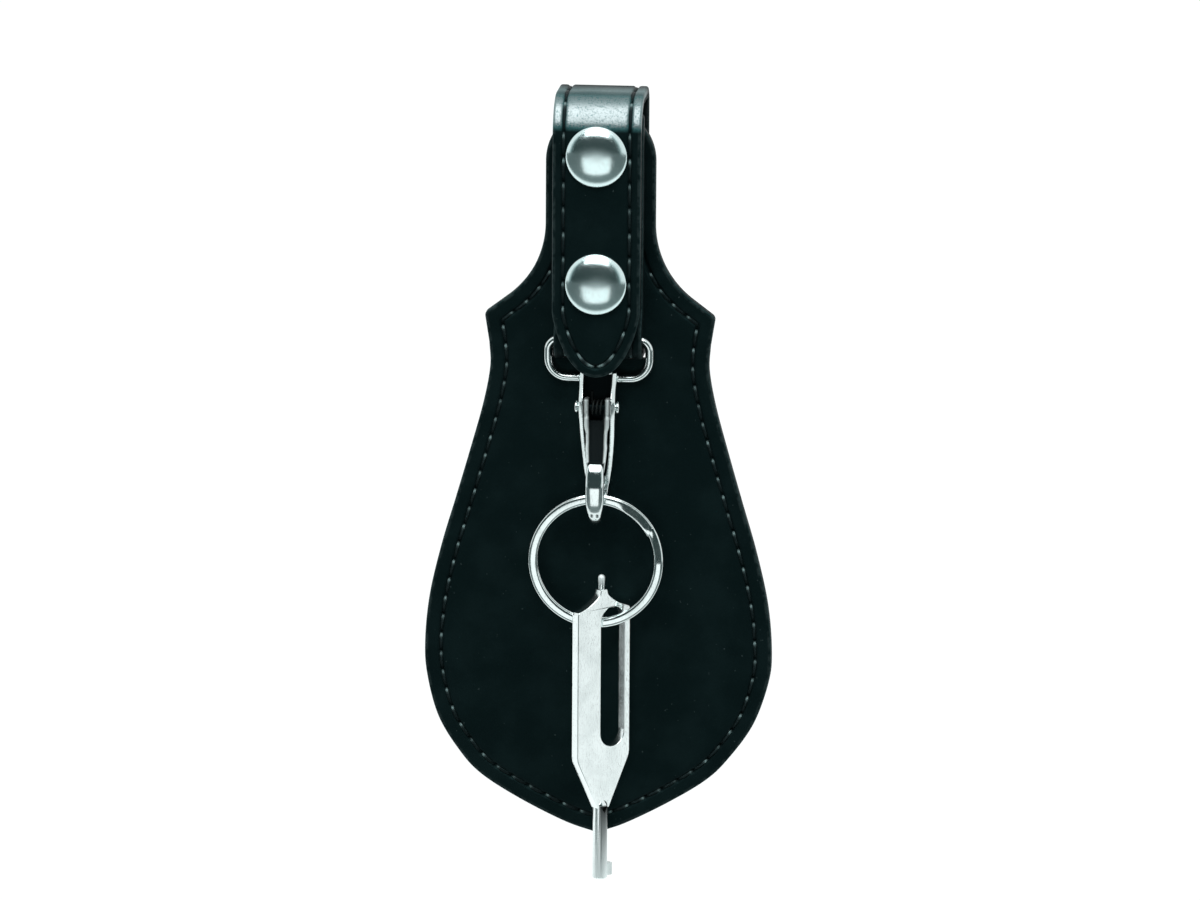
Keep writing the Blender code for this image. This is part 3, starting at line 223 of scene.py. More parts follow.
# Hook
EYE_WIRE = 2.2 * MM
EYE_WIDTH = 27.0 * MM
EYE_TOP_CORNER = 2.6 * MM
EYE_LOW_CORNER = 4.7 * MM
LOW_BAR_DROP = 67.8 * MM
HOOK_TOP_RISE = 1.9 * MM
SPINE_FRONT = 8.75 * MM
SPINE_THICKNESS = 2.4 * MM
SPINE_POWER = 3.2
HOOK_REACH = 27.7 * MM
BEND_RADIUS = 3.2 * MM
BEND_THICKNESS = 4.6 * MM
BEND_POWER = 2.7
NOSE_THICKNESS = 2.4 * MM
NOSE_RISE = 7.9 * MM
NOSE_POWER = 2.9
# The bend's least half width, and drop and half width down the spine, in millimetres
BEND_LOW_HALF = 1.6
HOOK_WIDTHS = (
    (66.0, 4.55), (74.4, 4.5), (80.0, 4.35), (84.0, 4.12), (89.2, 3.62), (92.5, 3.1), (95.6, 2.6),
)
WALL_THICKNESS = 1.2 * MM
WALL_FALL = 0.95 * MM
# Drop and how far the side walls stand forward, in millimetres
WALL_FRONTS = (
    (66.2, 9.1), (68.0, 10.3), (70.0, 11.7), (72.0, 12.9), (73.5, 13.2), (75.5, 13.2), (77.0, 12.95),
    (79.0, 12.35), (82.0, 11.4), (85.0, 10.6), (88.5, 9.9), (92.0, 9.2), (94.0, 8.7),
)
# Share of the nose's rise, with its thickness and half width in millimetres
NOSE_ROWS = (
    (0.0, 2.4, 2.3), (0.15, 2.42, 2.3), (0.3, 2.4, 2.3), (0.5, 2.1, 2.28), (0.7, 1.75, 2.2),
    (0.85, 1.3, 2.06), (0.95, 0.8, 1.8), (1.0, 0.4, 1.45),
)
DIMPLE_HEIGHT = 100.4 * MM
DIMPLE_SPREAD = 0.68 * MM
DIMPLE_SIZE = 0.42 * MM
DIMPLE_DEPTH = 0.28 * MM
# Box of the spine between the walls that gets painted shade
RECESS_DEPTHS = (-14.0 * MM, 0.35 * MM - SPINE_FRONT)
RECESS_DROPS = (66.6 * MM, 92.0 * MM)
RECESS_MARGIN = 0.1 * MM
CAST_VOXEL = 0.17 * MM
CAST_SMOOTHING = (0.6, 7)

# Gate and its pin
PIN_DEPTH = 10.9 * MM
PIN_DROP = 74.4 * MM
PIN_HEAD_RADIUS = 1.6 * MM
PIN_HALF_LENGTH = 5.5 * MM
PIN_SHAFT_RADIUS = 0.95 * MM
# Half the length of the pin's middle that gets painted shade
PIN_DARK_HALF = 3.6 * MM
GATE_EDGE = 0.08 * MM
GATE_WINDOW_HALF = 1.88 * MM
GATE_WINDOW_RUN = 3.4 * MM
GATE_WINDOW_RISE = 4.0 * MM
GATE_WINDOW_CORNER = 0.3 * MM
# The gate's middle gets painted shade this far beyond its window's sides
GATE_WINDOW_DARK = 0.12 * MM
# From the ears down to the tip, in millimetres: drop, back and front depth, outer and inner half width, web
GATE_ROWS = (
    (72.3, 9.3, 12.75, 3.15, 1.95, 0.7), (75.9, 9.3, 12.85, 3.15, 1.95, 0.7),
    (76.2, 9.4, 12.25, 3.15, 1.95, 0.7), (76.8, 9.6, 12.8, 3.15, 1.85, 0.7),
    (79.4, 10.4, 12.85, 2.95, 1.8, 0.6), (80.4, 10.8, 12.95, 2.6, 1.75, 0.5),
    (83.0, 11.6, 13.15, 2.5, 1.7, 0.45), (84.2, 12.0, 13.35, 2.62, 1.72, 0.4),
    (87.5, 12.9, 13.95, 2.35, 1.6, 0.4), (90.2, 13.85, 14.75, 2.0, 1.35, 0.4),
)
GATE_RIDGE_SHARE = 0.55
GATE_RIDGE_SLOPE = 0.8

# Split ring
RING_RADIUS = 15.4 * MM
RING_DEPTH = 11.95 * MM
RING_DROP = 112.55 * MM
RING_RADIAL = 2.2 * MM
RING_AXIAL = 0.85 * MM
RING_LAYER_GAP = 0.45 * MM
RING_STEPS = 150
RING_JOG = math.radians(34.0)
RING_JOG_PLACE = math.radians(30.0)
RING_END_GAP = math.radians(4.0)
RING_CUT_SKEW = math.radians(2.6)
# Powers of its section, radial and axial, how far grinding lowers each and rounding lifts the axial one
RING_POWERS = (0.72, 0.8)
RING_GROUND_POWERS = (0.1, 0.58)
RING_ROUND_POWER = 0.35
RING_GRIND = 0.22
# Degrees round the ring where its wire is ground flat and, counted from half a turn on, where it is rounder
RING_GRIND_RUN = ((29.0, 33.0, 60.0, 70.0), (0.0, 1.0, 1.0, 0.0))
RING_ROUND_RUN = ((155.0, 175.0, 205.0, 212.0), (0.0, 1.0, 1.0, 0.0))

# Key
KEY_YAW = math.radians(44.0)
KEY_SIDE_SHIFT = 1.6 * MM
KEY_DEPTH = 13.857 * MM
KEY_SLOT_TOP = 123.623 * MM
KEY_WIDTH = 16.2 * MM
KEY_THICKNESS = 2.4 * MM
KEY_SLOT_WIDTH = 7.31 * MM
KEY_SLOT_OFFSET = 2.746 * MM
KEY_SLOT_LENGTH = 35.0 * MM
KEY_SHOULDER_RISE = -0.5 * MM
KEY_APEX_RISE = 3.7 * MM
KEY_PIN_RISE = 8.2 * MM
KEY_PIN_RADIUS = 0.85 * MM
KEY_SIDE_LENGTH = 37.3 * MM
KEY_TAPER_LENGTH = 12.4 * MM
KEY_SIDE_LOW = KEY_SHOULDER_RISE - KEY_SIDE_LENGTH
KEY_LOW = KEY_SIDE_LOW - KEY_TAPER_LENGTH
KEY_BARREL_RADIUS = 1.78 * MM
KEY_BARREL_LENGTH = 17.8 * MM
KEY_BORE_RADIUS = 1.0 * MM
KEY_BORE_DEPTH = 8.0 * MM
KEY_BIT_EDGE = 0.12 * MM
KEY_BIT_REACH = 1.5 * MM
KEY_BIT_HEIGHT = 3.1 * MM
KEY_BIT_THICKNESS = 1.4 * MM
KEY_BIT_RISE = 0.4 * MM
KEY_EDGE = 0.3 * MM
# How much darker the key's cut sides are painted
KEY_SIDE_DARKENING = 0.15
KEY_SATIN_RISE = 1.5 * MM
# Faces that look along the key's own X or Y at least this squarely are shaded flat
FLAT_FACING = 0.998
KEY_NOTCH_HALF = 1.1 * MM
KEY_NOTCH_TOP = 0.4 * MM
KEY_NOTCH_FRONT = 0.4 * MM
KEY_NOTCH_DROP = 1.3 * MM
KEY_NOTCH_DEPTH = 1.25 * MM
# How much painted shade fills the key's notch
KEY_NOTCH_SHADE = 0.9

# Small pieces that keep the shape of their solid: node, finish, softened edge and smooth angle
SNAP_PIECES = (
    ("snap_socket", "nickel", 0.05 * MM, 35.0), ("snap_stud", "nickel", 0.1 * MM, 35.0),
    ("snap_post", "nickel", 0.06 * MM, 35.0), ("snap_spring", "spring_steel", 0.0, 70.0),
)

# Looks
# Painted sheen: the teal that the leather's colour is lightened toward where it is glossy
PAINTED_SHEEN = (0.02, 0.10, 0.104)
POLISH_TINTS = ((0.4, 0.97, 1.0), (0.9, 0.985, 1.0))
LEATHER_IOR = 2.9
THREAD_STRANDS = ((0.002, 0.004, 0.0044), (0.007, 0.012, 0.013))
# Painted highlight on the stitches where they come up from their holes
THREAD_GLINT = (0.22, 0.32, 0.32)
THREAD_TINT = (0.55, 0.97, 1.0)
# Painted shade: the near black that marked metal is painted toward
PAINTED_SHADE_COLOUR = (0.005, 0.009, 0.010)
WHITE = (1.0, 1.0, 1.0)
WORLD_TEAL = (0.62, 1.0, 1.0)
FLOOR_BASE = (0.13, 0.16, 0.16)

# Camera and studio
LENS = 298.5
CAMERA_DISTANCE = 2.43
CAMERA_AZIMUTH = math.radians(5.5)
CAMERA_ELEVATION = math.radians(12.0)
CAMERA_ROLL = math.radians(0.35)
CAMERA_TARGET = Vector((0.0, -0.00325, -0.0867))
FLOOR_DROP = 0.6
FLOOR_FADE = (0.28, 0.5)
FLOOR_HALF = 12.0
FLOOR_GLOW = 0.92
# The dim side of the surroundings: its middle, where it starts and ends, the bright and the dim level
DIM_SIDE = Vector((-0.12, -1.0, 0.02)).normalized()
DIM_SPREAD = (0.55, 0.8, 0.95, 0.05)
# Name, azimuth and elevation in degrees, distance, width, height and radiance
LIGHTS = (
    ("overhead", -4.0, 57.0, 0.9, 0.66, 0.9, 3.9),
    ("front_low", -4.0, -16.5, 1.1, 0.64, 0.44, 1.06),
)


# Materials

class Tree:
    """The node tree of a material or the world, with short ways to add and join its nodes."""

    def __init__(self, holder, shader):
        holder.use_nodes = True
        self.holder = holder
        self.nodes = holder.node_tree.nodes
        self.links = holder.node_tree.links
        self.shader = self.nodes[shader]
        self.place = self.add("ShaderNodeTexCoord", "Object")

    def add(self, kind, output, inputs=None, **settings):
        """One output of a new node, its settings made first and its inputs fed by name or number."""
        node = self.nodes.new(kind)
        for key, value in settings.items():
            setattr(node, key, value)
        for key, value in (inputs or {}).items():
            self.feed(node.inputs[key], value)
        return node.outputs[output]

    def feed(self, socket, value):
        if isinstance(value, bpy.types.NodeSocket):
            self.links.new(value, socket)
        else:
            socket.default_value = (*value, 1.0) if socket.type == "RGBA" else value

    def noise(self, size, detail=3.0, vector=None, roughness=0.5):
        inputs = {"Vector": vector or self.place, "Scale": 1.0 / size, "Detail": detail,
                  "Roughness": roughness}
        return self.add("ShaderNodeTexNoise", "Fac", inputs)

    def spread(self, value, low, high, to_low=0.0, to_high=1.0):
        inputs = {"Value": value, "From Min": low, "From Max": high, "To Min": to_low, "To Max": to_high}
        return self.add("ShaderNodeMapRange", "Result", inputs, interpolation_type="SMOOTHSTEP")

    def math(self, operation, first, second):
        return self.add("ShaderNodeMath", 0, {0: first, 1: second}, operation=operation)

    def times(self, first, second):
        return self.math("MULTIPLY", first, second)

    def plus(self, first, second):
        return self.math("ADD", first, second)

    def larger(self, first, second):
        return self.math("MAXIMUM", first, second)

    def mix(self, share, first, second):
        return self.add("ShaderNodeMix", 2, {0: share, 6: first, 7: second}, data_type="RGBA")

    def attribute(self, name):
        return self.add("ShaderNodeAttribute", "Fac", attribute_name=name)

    def bump(self, height, distance, strength=1.0):
        inputs = {"Height": height, "Distance": distance, "Strength": strength}
        return self.add("ShaderNodeBump", "Normal", inputs)

    def set(self, **inputs):
        """Feed the shader and give the material or the world back."""
        for key, value in inputs.items():
            self.feed(self.shader.inputs[key.replace("_", " ")], value)
        return self.holder


def material_tree(name):
    """The tree of a new material."""
    return Tree(bpy.data.materials.new(name), "Principled BSDF")


def leather_material(name, dark, light, wear_and_highlight, roughness, grain):
    """Smooth finished leather: faint cloudy colour, fine pores, glossier with a painted teal sheen at bends,
    and with wear and a painted edge highlight at its edges.
    """
    tree = material_tree(name)
    cloud = tree.noise(9.0 * MM, 4.0)
    fine = tree.noise(0.45 * MM, 5.0, roughness=0.6)
    colour = tree.mix(tree.spread(cloud, 0.35, 0.7), dark, light)
    # Wear and, along the edges, a painted edge highlight, with random specks of wear
    edge_wear_and_light = tree.times(tree.attribute("wear_and_highlight"), tree.spread(tree.noise(1.6 * MM, 4.0), 0.36, 0.62))
    speck = tree.spread(tree.noise(0.9 * MM, 1.0), 0.76, 0.82, 0.0, 0.45)
    colour = tree.mix(tree.larger(edge_wear_and_light, speck), colour, wear_and_highlight)
    # Painted sheen: colour lightened toward teal where the leather is marked glossy
    colour = tree.mix(tree.times(tree.attribute("gloss_and_sheen"), 0.8), colour, PAINTED_SHEEN)
    cells = {"Vector": tree.place, "Scale": 1.0 / (0.5 * MM), "Smoothness": 0.4}
    pores = tree.add("ShaderNodeTexVoronoi", "Distance", cells, feature="SMOOTH_F1")
    height = tree.plus(tree.times(pores, 0.7), tree.times(fine, 0.8))
    creases = tree.spread(tree.noise(2.6 * MM, 3.0), 0.4, 0.62)
    height = tree.plus(height, tree.times(creases, 0.5))
    gloss_and_sheen = tree.times(tree.attribute("gloss_and_sheen"), tree.spread(fine, 0.3, 0.55, 0.45, 1.0))
    rough = tree.spread(cloud, 0.3, 0.7, roughness + 0.05, roughness - 0.04)
    rough = tree.math("SUBTRACT", rough, tree.times(gloss_and_sheen, 0.2))
    level = tree.plus(tree.times(gloss_and_sheen, 0.5), 0.017)
    tint = tree.mix(tree.spread(gloss_and_sheen, 0.28, 0.6), *POLISH_TINTS)
    return tree.set(Base_Color=colour, Roughness=rough, Normal=tree.bump(height, grain), IOR=LEATHER_IOR,
                    Specular_IOR_Level=level, Specular_Tint=tint)


def thread_material():
    """Black waxed thread, twisted, with a faint sheen on its strands and a painted highlight where it is
    marked.
    """
    tree = material_tree("thread_twist")
    wave = {"Vector": tree.add("ShaderNodeUVMap", "UV"), "Scale": 1.1, "Distortion": 0.4}
    strand = tree.add("ShaderNodeTexWave", "Fac", wave, wave_type="BANDS", bands_direction="DIAGONAL")
    colour = tree.mix(strand, *THREAD_STRANDS)
    # Painted highlight where the thread is marked
    colour = tree.mix(tree.attribute("wear_and_highlight"), colour, THREAD_GLINT)
    fibres = tree.noise(0.08 * MM, 2.0)
    height = tree.plus(strand, tree.times(fibres, 0.3))
    return tree.set(Base_Color=colour, Roughness=0.42, Normal=tree.bump(height, 0.06 * MM),
                    Specular_IOR_Level=0.14, Specular_Tint=THREAD_TINT)


def metal_material(name, colour, tarnish, rough_low, rough_high, metallic=1.0, edge=WHITE):
    """Plated or bare metal: faint cloudiness, fine scratches, painted shade (near black and rough) where it
    is marked so, and satin where it is marked so.
    """
    tree = material_tree(name)
    cloud = tree.noise(5.0 * MM, 4.0)
    drawn = tree.add("ShaderNodeMapping", "Vector", {"Vector": tree.place, "Scale": (6.0, 6.0, 0.5)})
    scratch = tree.noise(0.5 * MM, 3.0, drawn)
    tone = tree.mix(tree.spread(cloud, 0.42, 0.72, 0.0, 0.6), colour, tarnish)
    painted_shade = tree.attribute("painted_shade")
    # Painted shade: colour darkened toward near black where marked
    tone = tree.mix(painted_shade, tone, PAINTED_SHADE_COLOUR)
    uneven = tree.plus(cloud, tree.times(scratch, 0.4))
    rough = tree.spread(uneven, 0.5, 0.95, rough_low, rough_high)
    rough = tree.larger(rough, tree.times(painted_shade, 0.55))
    rough = tree.larger(rough, tree.times(tree.attribute("satin"), 0.62))
    height = tree.spread(scratch, 0.6, 0.75)
    return tree.set(Base_Color=tone, Roughness=rough, Metallic=metallic, Specular_Tint=edge,
                    Specular_IOR_Level=0.1, Normal=tree.bump(height, 0.012 * MM, 0.5))


LOOKS = {
    "leather": leather_material("leather_face", (0.0018, 0.0048, 0.0052), (0.0036, 0.0082, 0.0088),
                                (0.055, 0.078, 0.079), 0.5, 0.030 * MM),
    "lining": leather_material("leather_lining", (0.005, 0.0075, 0.0078), (0.0095, 0.0125, 0.0128),
                               (0.045, 0.055, 0.055), 0.7, 0.07 * MM),
    "thread": thread_material(),
    "nickel": metal_material("nickel_plate", (0.76, 0.845, 0.84), (0.64, 0.72, 0.715), 0.10, 0.19),
    "cap": metal_material("cap_plate", (0.70, 0.86, 0.86), (0.64, 0.79, 0.79), 0.15, 0.2),
    "gate": metal_material("gate_plate", (0.84, 0.93, 0.925), (0.74, 0.83, 0.825), 0.26, 0.36, metallic=0.4),
    # Spring wire painted nearly black: painted shade for the gate spring's coils between the hook's walls;
    # the snap springs share it
    "spring_steel": metal_material("spring_wire_painted_dark", (0.02, 0.024, 0.024), (0.01, 0.012, 0.012), 0.4, 0.5,
                                   metallic=0.15, edge=(0.2, 0.25, 0.25)),
    "key_steel": metal_material("key_metal", (0.88, 0.955, 0.95), (0.83, 0.91, 0.905), 0.13, 0.2),
}


# Small helpers

def arc(centre, radius, start, end, steps):
    """Points of an arc, both ends included."""
    angles = [start + (end - start) * step / steps for step in range(steps + 1)]
    return [(centre[0] + radius * math.cos(angle), centre[1] + radius * math.sin(angle)) for angle in angles]


def smooth_through(points, steps):
    """A Catmull-Rom curve through 2D points."""
    knots = [2 * Vector(points[0]) - Vector(points[1])] + [Vector(point) for point in points]
    knots.append(2 * knots[-1] - knots[-2])
    curve = []
    for a, b, c, d in zip(knots, knots[1:], knots[2:], knots[3:]):
        for step in range(steps):
            t = step / steps
            square = a * 2 - b * 5 + c * 4 - d
            cube = b * 3 - a - c * 3 + d
            curve.append(tuple((b * 2 + (c - a) * t + square * t ** 2 + cube * t ** 3) / 2))
    return curve + [tuple(knots[-2])]


def run_lengths(line):
    """How far along a line each of its points is."""
    return np.concatenate([[0.0], np.cumsum(np.linalg.norm(np.diff(line, axis=0), axis=1))])


def points_at(run, runs, line):
    """The point or points of a line at a distance or distances along it."""
    return np.stack([np.interp(run, runs, line[:, axis]) for axis in range(line.shape[1])], axis=-1)


def even_points(points, spacing):
    """An open line of points resampled at about the same spacing, both ends kept."""
    line = np.array(points)
    runs = run_lengths(line)
    keep = np.concatenate([[True], np.diff(runs) > TINY])
    count = max(2, round(runs[-1] / spacing))
    return points_at(np.linspace(0.0, runs[-1], count + 1), runs[keep], line[keep])


def rounded_corner(before, corner, after, radius, steps):
    """Points of the arc that rounds a corner between two straight edges."""
    corner = Vector(corner)
    arm_in, arm_out = (Vector(before) - corner).normalized(), (Vector(after) - corner).normalized()
    half = arm_in.angle(arm_out) / 2
    centre = corner + (arm_in + arm_out).normalized() * (radius / math.sin(half))
    first = corner + arm_in * (radius / math.tan(half)) - centre
    last = corner + arm_out * (radius / math.tan(half)) - centre
    start = math.atan2(first.y, first.x)
    sweep = (math.atan2(last.y, last.x) - start + math.pi) % (2 * math.pi) - math.pi
    return arc(centre, radius, start, start + sweep, steps)


def rounded_polygon(corners, radius):
    """A closed polygon with every corner rounded alike."""
    points = []
    for index, corner in enumerate(corners):
        after = corners[(index + 1) % len(corners)]
        points.extend(rounded_corner(corners[index - 1], corner, after, radius, 6))
    return points


def signed_power(value, power):
    """A sine or cosine raised to a power, its sign kept."""
    return math.copysign(abs(value) ** power, value)


def new_object(name, data):
    """An object in the scene."""
    item = bpy.data.objects.new(name, data)
    bpy.context.scene.collection.objects.link(item)
    return item


def mesh_object(name, shape):
    """An object of a bmesh, which is used up."""
    mesh = bpy.data.meshes.new(name)
    shape.to_mesh(mesh)
    shape.free()
    return new_object(name, mesh)


def cleaned(shape, weld):
    """A bmesh with the vertices this close to each other welded and its normals facing out."""
    if weld:
        bmesh.ops.remove_doubles(shape, verts=shape.verts, dist=weld)
    bmesh.ops.recalc_face_normals(shape, faces=shape.faces)
    return shape


def finish_object(name, shape, slot, body, smooth_angle=40.0, weld=0.0005 * MM, look=None):
    """Turn a bmesh into an object with its finish, smooth but for its sharp edges, riding on a body."""
    for face in cleaned(shape, weld).faces:
        face.smooth = True
    for edge in shape.edges:
        edge.smooth = not (edge.is_manifold and edge.calc_face_angle(0.0) > math.radians(smooth_angle))
    item = mesh_object(name, shape)
    item.data.materials.append(LOOKS[look or slot])
    if body:
        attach(item, body)
    return item


def baked_shape(item):
    """The evaluated mesh of an object as a bmesh; the object is removed."""
    shape = bmesh.new()
    evaluated = item.evaluated_get(bpy.context.evaluated_depsgraph_get())
    shape.from_mesh(bpy.data.meshes.new_from_object(evaluated))
    bpy.data.objects.remove(item, do_unlink=True)
    return shape


def combined(base, cutter, operation):
    """A bmesh joined with or cut by another."""
    first, second = mesh_object("base", base), mesh_object("cutter", cutter)
    modifier = first.modifiers.new("combine", "BOOLEAN")
    modifier.operation, modifier.solver, modifier.object = operation, "EXACT", second
    shape = baked_shape(first)
    bpy.data.objects.remove(second, do_unlink=True)
    return shape


def skin(shape, rows, closed=True):
    """Quads between neighbouring rows of vertices, all the way round where the rows are closed."""
    faces = []
    for low, high in zip(rows, rows[1:]):
        for index in range(len(low) if closed else len(low) - 1):
            after = (index + 1) % len(low)
            faces.append(shape.faces.new((low[index], low[after], high[after], high[index])))
    return faces


def lofted(sections, closed=False):
    """A bmesh skin over sections with the same number of points, joined end to end or capped."""
    shape = bmesh.new()
    rings = [[shape.verts.new(point) for point in section] for section in sections]
    skin(shape, rings + rings[:1] if closed else rings)
    if not closed:
        shape.faces.new(list(reversed(rings[0])))
        shape.faces.new(rings[-1])
    return cleaned(shape, 0.0)


def turned(profile, placement, steps):
    """A bmesh turned from a run of (radius, height) points."""
    shape = bmesh.new()
    rings = []
    for step in range(steps):
        angle = 2 * math.pi * step / steps
        c, s = math.cos(angle), math.sin(angle)
        rings.append([shape.verts.new(placement @ Vector((r * c, r * s, h))) for r, h in profile])
    skin(shape, rings + rings[:1], closed=False)
    return cleaned(shape, 0.001 * MM)


def extruded(outlines, thickness, placement):
    """A bmesh plate from closed 2D outlines, the first with the others as holes, about its plane."""
    curve = bpy.data.curves.new("plate", "CURVE")
    curve.dimensions, curve.fill_mode, curve.extrude = "2D", "BOTH", thickness / 2
    for outline in outlines:
        spline = curve.splines.new("POLY")
        spline.points.add(len(outline) - 1)
        for point, (across, up) in zip(spline.points, outline):
            point.co = (across, up, 0.0, 1.0)
        spline.use_cyclic_u = True
    shape = cleaned(baked_shape(new_object("plate", curve)), 0.002 * MM)
    bmesh.ops.transform(shape, matrix=placement, verts=shape.verts)
    return shape


def softened(shape, width, segments=3, angle=30.0):
    """A bmesh with its sharp edges rounded by a bevel."""
    item = mesh_object("soften", shape)
    bevel = item.modifiers.new("soften", "BEVEL")
    bevel.width, bevel.segments, bevel.limit_method = width, segments, "ANGLE"
    bevel.angle_limit = math.radians(angle)
    bevel.use_clamp_overlap = True
    return baked_shape(item)


def facing_out(depth, drop=0.0):
    """Placement at a depth and a drop whose own Z points forward and whose own Y points up."""
    return Matrix.Translation((0.0, -depth, -drop)) @ Matrix.Rotation(math.pi / 2, 4, "X")


# Leather plies

def inset_half(points, inset):
    """The right half of an outline moved inwards; where it would fold over itself it stops at the fold."""
    if inset <= 0.0:
        return points.copy()
    arms = np.gradient(points, axis=0)
    arms /= np.linalg.norm(arms, axis=1)[:, None]
    moved = points + np.stack([arms[:, 1], -arms[:, 0]], axis=1) * inset
    whole = np.concatenate([points, points * (-1.0, 1.0)])
    near = np.array([np.min(np.hypot(whole[:, 0] - x, whole[:, 1] - y)) for x, y in moved])
    good = (near > inset - INSET_SLACK) & (moved[:, 0] >= -1e-7)
    good[0] = True
    index = 0
    while index < len(moved):
        if good[index]:
            index += 1
            continue
        last = index - 1
        while index < len(moved) and not good[index]:
            index += 1
        if index < len(moved):
            moved[last + 1:index] = (moved[last] + moved[index]) / 2
        else:
            step = moved[last] - moved[last - 1]
            share = moved[last][0] / -step[0] if step[0] < -TINY else 0.0
            moved[last + 1:] = (0.0, moved[last][1] + step[1] * min(share, 20.0))
    return moved


def seam_runs(points, pitch):
    """The distance along a seam of each of its points, and the pitch that fits it evenly."""
    runs = run_lengths(points)
    return runs, runs[-1] / round(runs[-1] / pitch)


def edge_profile(thickness, outer, inner):
    """(inset, height) points up a ply's side, from its inner face round to its outer face."""
    quarter = math.pi / 2
    profile = [(inner * (1 - math.sin(a)), inner * (1 - math.cos(a))) for a in np.linspace(0.0, quarter, 3)]
    profile += [(outer * (1 - math.cos(a)), thickness - outer * (1 - math.sin(a)))
                for a in np.linspace(0.0, quarter, 5)]
    return profile


def ply_rings(thickness, edge_radius, seam_inset):
    """Rows round a ply's edge and seam: inset, height, wear with a painted edge highlight, share of the
    groove's depth, and glossiness with painted sheen.
    """
    rings = []
    for inset, height in edge_profile(thickness, edge_radius, INNER_EDGE_RADIUS):
        glossy = GLOSS_BAND[0] * edge_radius < inset < GLOSS_BAND[1] * edge_radius
        wear_and_light = EDGE_WEAR_AND_LIGHT[0] if inset < EDGE_WEAR_AND_LIGHT_INSET else EDGE_WEAR_AND_LIGHT[1]
        rings.append((inset, height, wear_and_light, 0.0, EDGE_GLOSS_AND_SHEEN if glossy else 0.0))
    rings.append((edge_radius + EDGE_MARGIN, thickness, 0.0, 0.0, 0.0))
    for offset, share in GROOVE_PROFILE:
        rings.append((seam_inset + offset * MM, thickness - GROOVE_DEPTH * share, 0.0, share, 0.0))
    return rings


def ply(half, thickness, edge_radius, seam_inset, pitch, place, columns, gloss_and_sheen=None):
    """A leather ply from the right half of its outline; its height runs from its inner to its outer face."""
    rings = ply_rings(thickness, edge_radius, seam_inset)
    runs, fitted = seam_runs(inset_half(half, seam_inset), pitch)
    from_hole = np.abs((runs + fitted / 2) % fitted - fitted / 2)
    pits = np.exp(-(from_hole / PIT_RADIUS) ** 2)
    shape = bmesh.new()
    wear_and_highlight = shape.verts.layers.float.new("wear_and_highlight")
    shine = shape.verts.layers.float.new("gloss_and_sheen")

    def point(across, along, height, wear_and_light=0.0, edge_gloss_and_sheen=0.0, groove=0.0):
        vertex = shape.verts.new(place(across, along, height))
        vertex[wear_and_highlight] = wear_and_light
        vertex[shine] = max(edge_gloss_and_sheen, gloss_and_sheen(along) * (1.0 - groove) if gloss_and_sheen else 0.0)
        return vertex

    sides = []
    for sign in (1.0, -1.0):
        lines = []
        for inset, height, wear_and_light, groove, edge_gloss_and_sheen in rings:
            deep = PIT_DEPTH * groove
            lines.append([point(sign * x, y, height - deep * pit, wear_and_light, edge_gloss_and_sheen, groove)
                          for (x, y), pit in zip(inset_half(half, inset), pits)])
        sides.append(lines)
    for height, edge in ((thickness, -1), (0.0, 0)):
        line = inset_half(half, rings[edge][0])
        shares = [1 - 2 * step / columns for step in range(1, columns)]
        middle = [[point(x * share, y, height) for x, y in line] for share in shares]
        skin(shape, [sides[0][edge]] + middle + [sides[1][edge]], closed=False)
    for lines in sides:
        skin(shape, lines, closed=False)
    return cleaned(shape, 0.0002 * MM)


def stitch(shape, wear_and_highlight, place, seam, span, level, slant, glints):
    """Rings of vertices for one stitch, arched over the groove and bent down at both ends."""
    runs, line = seam
    rings = []
    for station in range(STITCH_STATIONS):
        share = station / (STITCH_STATIONS - 1)
        run = span[0] + (span[1] - span[0]) * (STITCH_GAP + (1.0 - 2 * STITCH_GAP) * share)
        ahead = points_at(min(run + STITCH_REACH, runs[-1]), runs, line)
        along = ahead - points_at(max(run - STITCH_REACH, 0.0), runs, line)
        along /= max(np.linalg.norm(along), TINY)
        normal = np.array([along[1], -along[0]])
        spot = points_at(run, runs, line) + normal * slant * (share - 0.5) * 2
        arch = math.sin(math.pi * share) ** STITCH_ARCH
        radius = THREAD_RADIUS * (STITCH_WAIST + (1.0 - STITCH_WAIST) * arch)
        ring = []
        for side in range(STITCH_SIDES):
            turn = 2 * math.pi * side / STITCH_SIDES
            out = spot + normal * (math.cos(turn) * radius * STITCH_OVAL[0])
            height = level + (arch - 1.0) * STITCH_DIVE + math.sin(turn) * radius * STITCH_OVAL[1]
            vertex = shape.verts.new(place(out[0], out[1], height))
            # Painted highlight, station by station, strongest near the stitch's start
            vertex[wear_and_highlight] = glints[station]
            ring.append(vertex)
        rings.append(ring)
    return rings


